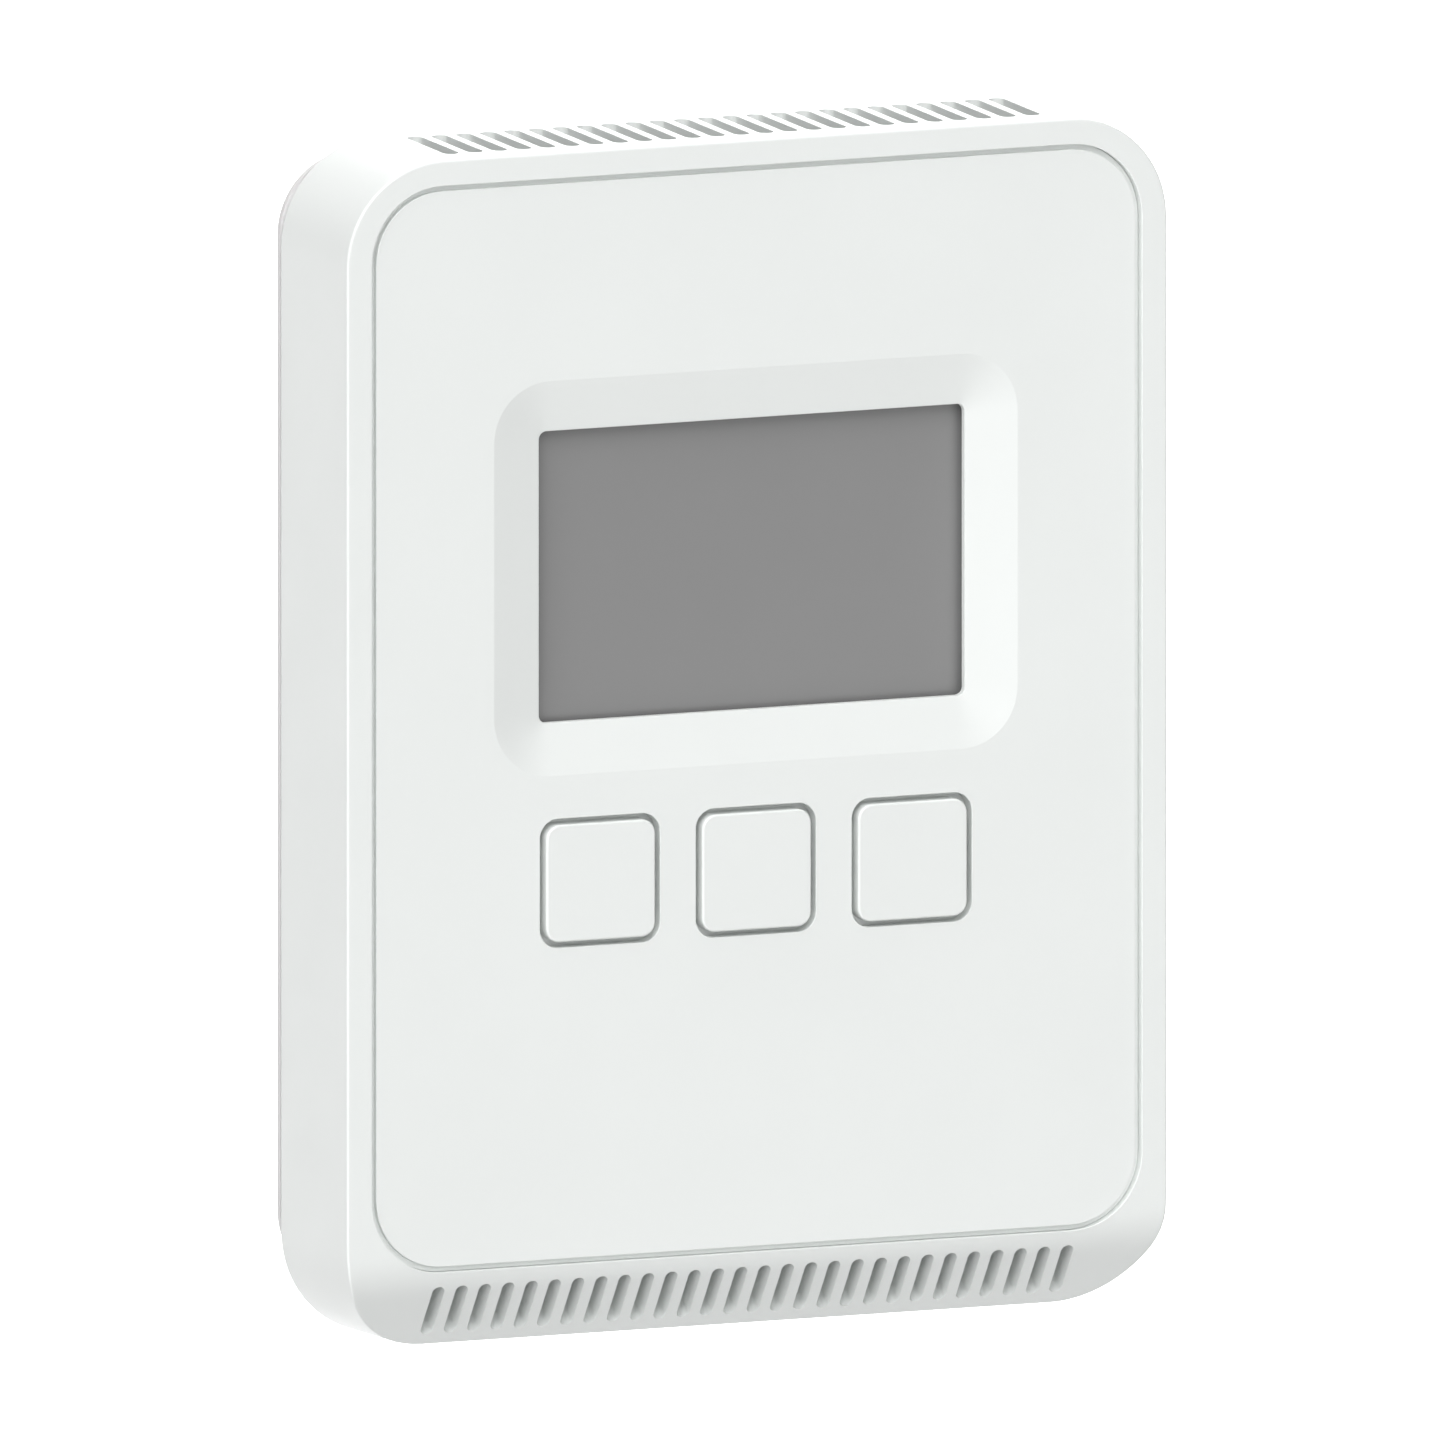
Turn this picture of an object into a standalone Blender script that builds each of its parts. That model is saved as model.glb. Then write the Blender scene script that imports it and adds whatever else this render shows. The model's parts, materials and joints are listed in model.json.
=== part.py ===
"""Wall thermostat: a slim vented room controller that hangs on a wall plate.

Frame: +X to the right, +Y into the wall, +Z up. The origin is the centre of the wall plate's rear face,
so every piece lies at negative Y. All dimensions below are in millimetres; MM turns them into metres.
"""
import math

import bmesh
import bpy
from mathutils import Matrix, Vector

MM = 0.001
GAP = 0.3                      # clearance left between neighbouring pieces

# Outer body: a rounded rectangle whose walls widen towards the wall.
FRONT_WIDTH = 88.0
FRONT_HEIGHT = 118.64
FRONT_CORNER = 10.24
TOTAL_DEPTH = 16.8
DRAFT = math.tan(math.radians(1.3))
EDGE_ROUND = 0.24              # fillet between front and side walls
WALL = 2.0
FRONT_Y = -TOTAL_DEPTH
RIM_Y = -1.09                  # rear edge of the cover
SHELF_Y = FRONT_Y + 2.1        # seat that the face panel rests on
CAVITY_Y = SHELF_Y + 1.5       # inner face of the cover's front wall
FRONT_OPENING = (66.0, 88.0, 5.0)  # hole behind the panel: width, height and corner

# Slanted lower front edge.
CHAMFER_Z = -52.15             # where its plane meets the front plane
CHAMFER_ANGLE = math.radians(35.25)
CHAMFER_BLEND = 7.3            # radius between front plane and slant

# Vent slots.
TOP_SLOTS = 25
TOP_SLOT_PITCH = 2.6
TOP_SLOT_WIDTH = 1.65
TOP_SLOT_DEPTHS = (3.2, 13.5)  # behind the front plane
LOW_SLOTS = 28
LOW_SLOT_PITCH = 2.5
LOW_SLOT_WIDTH = 1.33
LOW_SLOT_SPAN = (1.24, 7.55)   # distances down the slant
FIN_DEPTH = 4.0                # thickness of the slant where its slots go through
FIN_SPAN = (0.9, 8.6)
FIN_SKIN = 0.8
FIN_HALF_WIDTH = 36.0
LOW_SLOT_REACH = 5.2

# Face panel, set into the cover with an open seam around it.
PANEL_SETBACK = 0.3
PANEL_WIDTH = 81.5
PANEL_HEIGHT = 107.26
PANEL_CORNER = 7.0
PANEL_Z = 2.6
PANEL_Y = FRONT_Y + PANEL_SETBACK
PANEL_BACK_Y = PANEL_Y + 1.5
SEAM = 0.56
SEAM_DEPTH = 0.75              # below the panel's face

# Display.
DISPLAY_Z = 16.88
RECESS_SIZE = (56.2, 39.4)
RECESS_CORNER = 6.0
RECESS_DEPTH = 1.05
WINDOW_SIZE = (45.7, 29.1)
WINDOW_CORNER = 0.8
WINDOW_LIP = 0.72              # thickness of the window's edge, undercut behind
UNDERCUT = 1.5
LENS_SIZE = (50.0, 34.0, 0.5)
LENS_Y = (-13.0, -13.75)
DISPLAY_FRAME = (60.0, 43.0, 7.0)
DISPLAY_FRAME_Y = -14.05
CELL_HALF = (25.0, 17.0)       # liquid crystal cell
CELL_Y = (-11.2, -12.7)
GUIDE_HALF = (22.0, 13.0)      # light guide behind the cell
GUIDE_Y = (-10.0, -10.9)
STRIP_Z = 15.2                 # contact strips above and below the guide
STRIP_HALF_HEIGHT = 1.0
HOLDER_SIZE = (56.0, 40.0, 1.0)
HOLDER_Y = (-10.0, -13.3)

# Buttons.
BUTTON_PITCH = 16.74
BUTTON_Z = -13.57
BUTTON_HOLE = 12.88
BUTTON_HOLE_CORNER = 1.95
BUTTON_SIZE = 11.7
BUTTON_CORNER = 1.45
BUTTON_ROUND = 0.23            # fillet around the cap's face
BUTTON_FLANGE = 14.8
BUTTON_FLANGE_Y = (-14.0, -14.7)
STEM_RADIUS = 2.2
STEM_END_Y = -13.2
PLUNGER_RADIUS = 1.7
PLUNGER_Y = (-12.9, -11.3)
SWITCH_HALF = 3.1
SWITCH_HEIGHT = 2.4
SWITCH_BORE = 2.05
SWITCH_BORE_END_Y = -10.6

# Boards.
MAIN_BOARD_Y = (-8.5, -9.7)    # rear and front faces
MAIN_BOARD_Z = (-30.0, 44.0)
MAIN_BOARD_WIDTH = 80.0
MAIN_BOARD_CORNER = 2.0
MAIN_SCREW_SPOTS = ((-37.0, 40.0), (37.0, 40.0), (-37.0, -26.0), (37.0, -26.0))
BOSS_RADIUS = 2.6
CONTROLLER_SPOT = (10.0, 20.0)
CONTROLLER_SIZE = (10.0, 1.2)  # side and height
SENSOR_SPOT = (24.0, -26.0)
SENSOR_SIZE = (3.2, 1.0)
BASE_BOARD_Y = (-2.5, -4.1)
BASE_BOARD = ((-38.0, -50.8), (38.0, -50.8), (38.0, -33.5), (-23.0, -33.5), (-23.0, -9.0), (-38.0, -9.0))
BASE_SCREW_SPOTS = ((35.0, -46.0), (-34.5, -30.5))
SOCKET_X = -30.0
SOCKET_Z = -20.0
SOCKET_HALF = (2.5, 7.0)
SOCKET_HEIGHT = 2.6
SOCKET_HOLLOW_HALF = (1.3, 6.0)
HEADER_HALF = (2.0, 6.5)
HEADER_HEIGHT = 0.8
HEADER_PINS = 5
PIN_PITCH = 2.5
PIN_HALF = 0.32
PIN_REACH = 2.8

# Wall plate, as wide as the cover and shorter than it.
PLATE_SIZE = (88.66, 113.2, 8.0)
PLATFORM_SIZE = (84.0, 110.8, 7.0)
PLATE_Z = 1.6
SKIRT_SIZE = (84.1, 114.4, 8.2)    # closes the room between the plate's ends and the cover
SKIRT_Y = (-1.3, -2.1)
PLATE_FLANGE_Y = -0.85
PLATE_FRONT_Y = -2.2
TONGUE_X = 24.0
TONGUE_WIDTH = 6.0
TONGUE_THICKNESS = 0.8
TONGUE_FRONT_Y = -2.58
WIRE_OPENING_LOW = (-17.0, -31.0)
WIRE_OPENING_HIGH = (17.0, -13.0)
WIRE_OPENING_CORNER = 3.0
WALL_SCREW_SLOTS = ((-30.0, 4.0), (30.0, 4.0), (0.0, 48.0))
WALL_SLOT = (8.0, 3.8, 1.89)   # width, height and corner
LUG_LOW = (-3.5, -8.9, -53.8)  # lug that the lock screw's tip enters
LUG_HIGH = (3.5, PLATE_FRONT_Y + 0.6, -51.4)

# Screws.
PILOT_RADIUS = 1.25
HOLE_RADIUS = 1.3
SHANK_RADIUS = 0.95
HEAD_RADIUS = 1.9

# Terminal block.
POLES = 6
POLE_PITCH = 5.08
TERMINAL_Z = -44.3             # line of the terminal screws
TERMINAL_BLOCK_Z = (-49.3, -38.3)
TERMINAL_BLOCK_FRONT_Y = -12.4
CHAMBER_HALF = (1.8, 2.2)      # room for one clamp
CHAMBER_Y = (-10.4, -4.9)
WELL_RADIUS = 1.9
ENTRY_HALF_WIDTH = 1.6
ENTRY_Y = (-8.4, -5.2)
CLAMP_HALF = (1.5, 1.8)
CLAMP_Y = (-8.6, -5.2)
CLAMP_WINDOW_HALF = 1.1
CLAMP_WINDOW_Y = (-7.9, -5.9)
CLAMP_THREAD_RADIUS = 1.1
TERMINAL_SHANK_RADIUS = 0.8
TERMINAL_HEAD_RADIUS = 1.6
TERMINAL_HEAD_Y = -10.4        # middle of the head's bearing face

# Relays and capacitor beside the terminals.
RELAY_X = 24.5
RELAY_SIZE = 12.0
RELAY_FRONT_Y = -12.0
CAN_X = -34.5
CAN_RADIUS = 3.1
CAN_HEIGHT = 6.1

# Lock screw under the cover, drawn backed out.
LOCK_Y = -6.8
LOCK_HEAD_Z = -59.5
LOCK_LENGTH = 5.2
LOCK_HEAD_RADIUS = 1.7
LOCK_BOSS_RADIUS = 3.0
LOCK_BOSS_Z = (-58.5, -54.9)
LOCK_WELL_RADIUS = 2.1
LOCK_WELL_END_Z = -56.1
WASHER_RADIUS = 1.8
WASHER_Z = -58.2
WASHER_THICKNESS = 0.3

HALF_RIM_HEIGHT = FRONT_HEIGHT / 2 + (RIM_Y - FRONT_Y) * DRAFT
HINGE = (0.0, RIM_Y, HALF_RIM_HEIGHT)


# ---------------------------------------------------------------- scene helpers

def clear_scene():
    for item in list(bpy.data.objects):
        bpy.data.objects.remove(item, do_unlink=True)


def collection(name):
    made = bpy.data.collections.new(name)
    bpy.context.scene.collection.children.link(made)
    return made


clear_scene()
PARTS = collection("wall_thermostat")
CUTTERS = collection("cutters")


def material(name, color, roughness, metallic=0.0):
    made = bpy.data.materials.new(name)
    made.use_nodes = True
    shader = made.node_tree.nodes["Principled BSDF"]
    shader.inputs["Base Color"].default_value = (*color, 1.0)
    shader.inputs["Roughness"].default_value = roughness
    shader.inputs["Metallic"].default_value = metallic
    return made


def empty(name, at, parent=None):
    """Empty on a joint's axis; at is in world millimetres."""
    made = bpy.data.objects.new(name, None)
    made.empty_display_size = 5 * MM
    PARTS.objects.link(made)
    settle(made, at, parent)
    return made


def settle(item, at, parent):
    """Place an object at a world position under an unrotated parent."""
    place = Vector(at) * MM
    item.parent = parent
    item.location = place - (world_place(parent) if parent else Vector())


def world_place(item):
    place = item.location.copy()
    while item.parent:
        item = item.parent
        place += item.location
    return place


def part(name, mesh, looks, at=(0, 0, 0), parent=None, smooth=None):
    """Named sub-part from a mesh in its own coordinates."""
    mesh.name = name
    made = bpy.data.objects.new(name, mesh)
    PARTS.objects.link(made)
    settle(made, at, parent)
    mesh.materials.append(material(name, *looks))
    if smooth:
        mesh.shade_smooth()
        mesh.set_sharp_from_angle(angle=math.radians(smooth))
    return made


def cutter(name, mesh):
    """Helper solid in world coordinates, left out of the model."""
    made = bpy.data.objects.new(name, mesh)
    CUTTERS.objects.link(made)
    made.hide_render = True
    made.display_type = "WIRE"
    return made


def boolean(target, tool, operation="DIFFERENCE"):
    step = target.modifiers.new(tool.name, "BOOLEAN")
    step.operation = operation
    step.solver = "EXACT"
    step.object = tool


# ---------------------------------------------------------------- shape helpers

def rounded_outline(width, height, radius, steps=6):
    """Points of a rounded rectangle, anticlockwise in (x, z)."""
    points = []
    for corner, (side_x, side_z) in enumerate(((1, 1), (-1, 1), (-1, -1), (1, -1))):
        center_x = side_x * (width / 2 - radius)
        center_z = side_z * (height / 2 - radius)
        for step in range(steps + 1):
            angle = math.radians(90) * (corner + step / steps)
            points.append((center_x + radius * math.cos(angle), center_z + radius * math.sin(angle)))
    return points


def finished(bm, name="shape"):
    bmesh.ops.recalc_face_normals(bm, faces=bm.faces)
    mesh = bpy.data.meshes.new(name)
    bm.to_mesh(mesh)
    bm.free()
    return mesh


def loft(sections):
    """Closed solid through outlines of equal point count, given as (y, outline) from back to front."""
    bm = bmesh.new()
    rings = []
    for y, outline in sections:
        rings.append([bm.verts.new(Vector((x, y, z)) * MM) for x, z in outline])
    for ring, following in zip(rings, rings[1:]):
        for index, vert in enumerate(ring):
            after = (index + 1) % len(ring)
            bm.faces.new((vert, ring[after], following[after], following[index]))
    bm.faces.new(rings[0])
    bm.faces.new(rings[-1])
    return finished(bm)


def stepped_slab(*steps, arc_steps=6):
    """Solid of rounded rectangles along Y, each step given as (y, width, height, corner)."""
    return loft([(y, rounded_outline(w, h, r, arc_steps)) for y, w, h, r in steps])


def shifted(mesh, x=0.0, y=0.0, z=0.0):
    mesh.transform(Matrix.Translation(Vector((x, y, z)) * MM))
    return mesh


def block(low, high):
    """Box between two corners."""
    bm = bmesh.new()
    add_block(bm, low, high)
    return finished(bm)


def add_block(bm, low, high):
    low = Vector(low) * MM
    high = Vector(high) * MM
    size = high - low
    place = Matrix.Translation((low + high) / 2) @ Matrix.Diagonal((*size, 1.0))
    bmesh.ops.create_cube(bm, size=1.0, matrix=place)


def add_drum(bm, radius, start, end, axis="Y", sides=16):
    """Cylinder from start to end along a world axis; start is its centre on one cap."""
    start = Vector(start) * MM
    end = Vector(end) * MM
    turn = {"X": Matrix.Rotation(math.pi / 2, 4, "Y"), "Y": Matrix.Rotation(math.pi / 2, 4, "X"),
            "Z": Matrix.Identity(4)}[axis]
    bmesh.ops.create_cone(bm, cap_ends=True, segments=sides, radius1=radius * MM, radius2=radius * MM,
                          depth=(end - start).length, matrix=Matrix.Translation((start + end) / 2) @ turn)


def drum(radius, start, end, axis="Y", sides=16):
    bm = bmesh.new()
    add_drum(bm, radius, start, end, axis, sides)
    return finished(bm)


def turned(profile, axis="Y", sides=20):
    """Solid of revolution: profile is (radius, distance along the axis) from one end to the other."""
    bm = bmesh.new()
    rings = []
    for radius, along in profile:
        ring = []
        for side in range(sides):
            angle = 2 * math.pi * side / sides
            flat = (radius * math.cos(angle), radius * math.sin(angle))
            spot = (flat[0], along, flat[1]) if axis == "Y" else (flat[0], flat[1], along)
            ring.append(bm.verts.new(Vector(spot) * MM))
        rings.append(ring)
    for ring, following in zip(rings, rings[1:]):
        for index in range(sides):
            after = (index + 1) % sides
            bm.faces.new((ring[index], ring[after], following[after], following[index]))
    bm.faces.new(rings[0])
    bm.faces.new(rings[-1])
    return finished(bm)


def bar_along_x(profile, half_width):
    """Prism along X with a (y, z) profile."""
    bm = bmesh.new()
    ends = []
    for x in (-half_width, half_width):
        ends.append([bm.verts.new(Vector((x, y, z)) * MM) for y, z in profile])
    near, far = ends
    for index in range(len(profile)):
        after = (index + 1) % len(profile)
        bm.faces.new((near[index], near[after], far[after], far[index]))
    bm.faces.new(near)
    bm.faces.new(far)
    return finished(bm)


def plate_outline(points, back, front):
    """Flat plate of an (x, z) outline between two depths."""
    return loft([(back, points), (front, points)])


# ---------------------------------------------------------------- body sections

def body_section(y, inset=0.0):
    """Width, height and corner radius of the drafted body at depth y."""
    grow = (y - FRONT_Y) * DRAFT - inset
    return (FRONT_WIDTH + 2 * grow, FRONT_HEIGHT + 2 * grow, FRONT_CORNER + grow)


def slant_point(distance, inward=0.0):
    """(y, z) of a point down the slanted lower edge, and inward from its surface."""
    sine = math.sin(CHAMFER_ANGLE)
    cosine = math.cos(CHAMFER_ANGLE)
    return (FRONT_Y + distance * sine + inward * cosine, CHAMFER_Z - distance * cosine + inward * sine)


def slant_cutter(inset):
    """Everything in front of and below the slanted edge, moved inward by inset."""
    radius = CHAMFER_BLEND - inset
    tangent = CHAMFER_BLEND * math.tan(CHAMFER_ANGLE / 2)
    start_z = CHAMFER_Z + tangent
    front = FRONT_Y + inset
    profile = [(front - 5, start_z), (front, start_z)]
    arc_steps = 6
    for step in range(1, arc_steps + 1):
        angle = CHAMFER_ANGLE * step / arc_steps
        profile.append((front + radius * (1 - math.cos(angle)), start_z - radius * math.sin(angle)))
    profile.append(slant_point(14, inset))
    profile.append((front - 5, slant_point(14, inset)[1]))
    return bar_along_x(profile, 60)


def slot_cutter(count, pitch, width, low, high, direction, inward, reach):
    """Round-ended slots side by side along X; low and high are the (y, z) ends of one slot."""
    bm = bmesh.new()
    along = Vector((0, *direction))
    into = Vector((0, *inward))
    start = Vector((0, *low)) + along * width / 2
    end = Vector((0, *high)) - along * width / 2
    arc_steps = 4
    for index in range(count):
        offset = Vector(((index - (count - 1) / 2) * pitch, 0, 0))
        loop = []
        for center, turn in ((start, math.pi), (end, 0.0)):
            for step in range(arc_steps + 1):
                angle = turn + math.pi * step / arc_steps
                across = Vector((math.cos(angle), 0, 0))
                loop.append(offset + center + (across + along * math.sin(angle)) * width / 2)
        outer = [bm.verts.new((point - into * 1.2) * MM) for point in loop]
        inner = [bm.verts.new((point + into * reach) * MM) for point in loop]
        for spot in range(len(loop)):
            after = (spot + 1) % len(loop)
            bm.faces.new((outer[spot], outer[after], inner[after], inner[spot]))
        bm.faces.new(outer)
        bm.faces.new(inner)
    return finished(bm)


# ---------------------------------------------------------------- looks

WHITE_PLASTIC = ((0.86, 0.88, 0.87), 0.45)
PLATE_PLASTIC = ((0.78, 0.79, 0.79), 0.5)
SMOKED_LENS = ((0.26, 0.26, 0.26), 0.3)
GREEN_BOARD = ((0.03, 0.22, 0.09), 0.4)
BLACK_PLASTIC = ((0.02, 0.02, 0.02), 0.45)
GREEN_PLASTIC = ((0.06, 0.35, 0.12), 0.45)
STEEL = ((0.62, 0.62, 0.63), 0.35, 1.0)
BRASS = ((0.75, 0.58, 0.28), 0.35, 1.0)
GLASS = ((0.45, 0.5, 0.46), 0.1)
DIFFUSER = ((0.9, 0.92, 0.93), 0.5)
RUBBER = ((0.25, 0.25, 0.27), 0.7)
RELAY_BLUE = ((0.05, 0.12, 0.35), 0.45)
CAN = ((0.55, 0.56, 0.58), 0.3, 1.0)


# ---------------------------------------------------------------- wall side

def back_plate():
    mesh = stepped_slab((0, *PLATE_SIZE), (PLATE_FLANGE_Y, *PLATE_SIZE), (PLATE_FLANGE_Y, *PLATFORM_SIZE),
                        (PLATE_FRONT_Y, *PLATFORM_SIZE), arc_steps=8)
    plate = part("back_plate", shifted(mesh, z=PLATE_Z), PLATE_PLASTIC)
    skirt = stepped_slab((SKIRT_Y[0], *SKIRT_SIZE), (SKIRT_Y[1], *SKIRT_SIZE), arc_steps=8)
    boolean(plate, cutter("plate_skirt", skirt), "UNION")
    for side in (-1, 1):
        boolean(plate, tongue(side), "UNION")
    boolean(plate, lock_lug(), "UNION")
    boolean(plate, cutter("wire_opening", wire_opening()))
    for number, (x, z) in enumerate(WALL_SCREW_SLOTS, 1):
        slot = shifted(stepped_slab((1, *WALL_SLOT), (-4, *WALL_SLOT)), x, 0, z)
        boolean(plate, cutter(f"wall_screw_slot_{number}", slot))
    for number, (x, z) in enumerate(BASE_SCREW_SPOTS, 1):
        hole = drum(PILOT_RADIUS, (x, -0.6, z), (x, -3, z))
        boolean(plate, cutter(f"board_screw_pilot_{number}", hole))
    boolean(plate, cutter("lug_hole", drum(HOLE_RADIUS, (0, LOCK_Y, -56), (0, LOCK_Y, -50), "Z")))
    return plate


def tongue(side):
    """Flat tongue that the cover's top wall hangs on, thinner than that wall."""
    top = PLATE_Z + PLATE_SIZE[1] / 2 - 0.1
    center = side * TONGUE_X
    low = (center - TONGUE_WIDTH / 2, TONGUE_FRONT_Y, top - TONGUE_THICKNESS)
    high = (center + TONGUE_WIDTH / 2, PLATE_FLANGE_Y + 0.55, top)
    return cutter("tongue_left" if side < 0 else "tongue_right", block(low, high))


def lock_lug():
    """Lug above the lock screw, which its tip enters."""
    return cutter("lock_lug", block(LUG_LOW, LUG_HIGH))


def wire_opening():
    (left, bottom), (right, top) = WIRE_OPENING_LOW, WIRE_OPENING_HIGH
    size = (right - left, top - bottom, WIRE_OPENING_CORNER)
    return shifted(stepped_slab((1, *size), (-4, *size)), (left + right) / 2, 0, (bottom + top) / 2)


def terminal_board():
    board = part("terminal_board", plate_outline(BASE_BOARD, *BASE_BOARD_Y), GREEN_BOARD)
    for number, (x, z) in enumerate(BASE_SCREW_SPOTS, 1):
        hole = drum(HOLE_RADIUS, (x, -1, z), (x, -6, z))
        boolean(board, cutter(f"terminal_board_hole_{number}", hole))


def terminal_board_screws():
    for number, (x, z) in enumerate(BASE_SCREW_SPOTS, 1):
        spot = (x, BASE_BOARD_Y[1] - GAP, z)
        part(f"terminal_board_screw_{number}", turned(pan_screw(3.2)), STEEL, spot, smooth=40)


def pan_screw(length):
    """Profile of a pan-head screw, its head's bearing face at zero and its shank towards +Y."""
    return [(SHANK_RADIUS, length), (SHANK_RADIUS, 0), (HEAD_RADIUS, 0), (HEAD_RADIUS, -0.7),
            (HEAD_RADIUS - 0.5, -1.1)]


def pole_x(number):
    return (number - (POLES + 1) / 2) * POLE_PITCH


def terminal_block():
    half = POLES * POLE_PITCH / 2 + 0.6
    low_z, high_z = TERMINAL_BLOCK_Z
    mesh = block((-half, TERMINAL_BLOCK_FRONT_Y, low_z), (half, BASE_BOARD_Y[1] - GAP, high_z))
    body = part("terminal_block", mesh, GREEN_PLASTIC)
    chambers = bmesh.new()
    wells = bmesh.new()
    entries = bmesh.new()
    for number in range(1, POLES + 1):
        x = pole_x(number)
        add_block(chambers, (x - CHAMBER_HALF[0], CHAMBER_Y[0], TERMINAL_Z - CHAMBER_HALF[1]),
                  (x + CHAMBER_HALF[0], CHAMBER_Y[1], TERMINAL_Z + CHAMBER_HALF[1]))
        add_drum(wells, WELL_RADIUS, (x, -13, TERMINAL_Z), (x, -10, TERMINAL_Z))
        add_block(entries, (x - ENTRY_HALF_WIDTH, ENTRY_Y[0], TERMINAL_Z + 1.5),
                  (x + ENTRY_HALF_WIDTH, ENTRY_Y[1], high_z + 1))
    boolean(body, cutter("clamp_chambers", finished(chambers)))
    boolean(body, cutter("screw_wells", finished(wells)))
    boolean(body, cutter("wire_entries", finished(entries)))


def terminal_screws():
    """Captive screws that turn in place; each raises the clamp on its thread."""
    shank = TERMINAL_SHANK_RADIUS
    head = TERMINAL_HEAD_RADIUS
    for number in range(1, POLES + 1):
        x = pole_x(number)
        mesh = turned([(shank, 2.7), (shank, -0.3), (head, -0.3), (head, -1.4)])
        screw = part(f"terminal_screw_{number}", mesh, STEEL, (x, TERMINAL_HEAD_Y, TERMINAL_Z), smooth=40)
        slit = block((x - 2, -12.5, TERMINAL_Z - 0.25), (x + 2, -11.3, TERMINAL_Z + 0.25))
        boolean(screw, cutter(f"terminal_screw_slit_{number}", slit))


def terminal_clamps():
    """Open cages that the wires go into."""
    half_x, half_z = CLAMP_HALF
    for number in range(1, POLES + 1):
        x = pole_x(number)
        cage = block((-half_x, CLAMP_Y[0], -half_z), (half_x, CLAMP_Y[1], half_z))
        clamp = part(f"terminal_clamp_{number}", cage, BRASS, (x, 0, TERMINAL_Z))
        window = block((x - CLAMP_WINDOW_HALF, CLAMP_WINDOW_Y[0], TERMINAL_Z - 4),
                       (x + CLAMP_WINDOW_HALF, CLAMP_WINDOW_Y[1], TERMINAL_Z + 4))
        boolean(clamp, cutter(f"clamp_window_{number}", window))
        hole = drum(CLAMP_THREAD_RADIUS, (x, -9, TERMINAL_Z), (x, -7, TERMINAL_Z))
        boolean(clamp, cutter(f"clamp_thread_{number}", hole))


def base_components():
    top = BASE_BOARD_Y[1] - GAP
    for number, x in enumerate((-RELAY_X, RELAY_X), 1):
        full = (RELAY_SIZE, RELAY_SIZE, 0.8)
        face = (RELAY_SIZE - 0.8, RELAY_SIZE - 0.8, 0.4)
        relay = stepped_slab((top, *full), (RELAY_FRONT_Y + 0.4, *full), (RELAY_FRONT_Y, *face), arc_steps=2)
        part(f"relay_{number}", relay, RELAY_BLUE, (x, 0, TERMINAL_Z))
    can = [(CAN_RADIUS, 0), (CAN_RADIUS, 0.5 - CAN_HEIGHT), (CAN_RADIUS - 0.4, -CAN_HEIGHT)]
    part("capacitor", turned(can), CAN, (CAN_X, top, TERMINAL_Z), smooth=40)
    half_x, half_z = SOCKET_HALF
    housing = block((-half_x, -SOCKET_HEIGHT, -half_z), (half_x, 0, half_z))
    socket = part("board_socket", housing, BLACK_PLASTIC, (SOCKET_X, top, SOCKET_Z))
    hollow = shifted(centered_block(SOCKET_HOLLOW_HALF, (top - 0.5, top - 4)), SOCKET_X, 0, SOCKET_Z)
    boolean(socket, cutter("socket_hollow", hollow))


# ---------------------------------------------------------------- cover side

def front_cover(hinge):
    edge_y = FRONT_Y + EDGE_ROUND
    shell = stepped_slab((RIM_Y, *body_section(RIM_Y)), (edge_y, *body_section(edge_y)),
                         (FRONT_Y, *body_section(FRONT_Y, EDGE_ROUND)), arc_steps=8)
    cover = part("front_cover", shell, WHITE_PLASTIC, parent=hinge, smooth=30)
    boolean(cover, cutter("slant", slant_cutter(0.0)))
    boolean(cover, cavity())
    boolean(cover, cutter("panel_seat", panel_shape(SEAM, -20, SHELF_Y)))
    opening = stepped_slab((CAVITY_Y + 1, *FRONT_OPENING), (SHELF_Y - 0.5, *FRONT_OPENING), arc_steps=4)
    boolean(cover, cutter("front_opening", shifted(opening, 0, 0, PANEL_Z)))
    boolean(cover, cutter("top_vents", top_slots()))
    boolean(cover, cutter("low_vents", low_slots()))
    for side in (-1, 1):
        boolean(cover, tongue_notch(side))
    bosses = bmesh.new()
    pilots = bmesh.new()
    for x, z in MAIN_SCREW_SPOTS:
        add_drum(bosses, BOSS_RADIUS, (x, CAVITY_Y - 0.6, z), (x, MAIN_BOARD_Y[1] - GAP, z))
        add_drum(pilots, PILOT_RADIUS, (x, CAVITY_Y - 0.2, z), (x, MAIN_BOARD_Y[1] + 1, z), sides=12)
    boolean(cover, cutter("board_bosses", finished(bosses)), "UNION")
    boolean(cover, cutter("board_pilots", finished(pilots)))
    boss = drum(LOCK_BOSS_RADIUS, (0, LOCK_Y, LOCK_BOSS_Z[0]), (0, LOCK_Y, LOCK_BOSS_Z[1]), "Z", 20)
    boolean(cover, cutter("lock_boss", boss), "UNION")
    well = drum(LOCK_WELL_RADIUS, (0, LOCK_Y, -62), (0, LOCK_Y, LOCK_WELL_END_Z), "Z")
    boolean(cover, cutter("lock_well", well))
    boolean(cover, cutter("lock_hole", drum(PILOT_RADIUS, (0, LOCK_Y, -58), (0, LOCK_Y, -53), "Z")))


def cavity():
    """Inside of the cover, two millimetres within its walls and its slant."""
    depths = (RIM_Y + 1, CAVITY_Y)
    mesh = stepped_slab(*[(y, *body_section(y, WALL)) for y in depths], arc_steps=8)
    hollow = cutter("cavity", mesh)
    boolean(hollow, cutter("inner_slant", slant_cutter(WALL)))
    boolean(hollow, cutter("vent_fins", fin_bar()))
    return hollow


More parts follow.
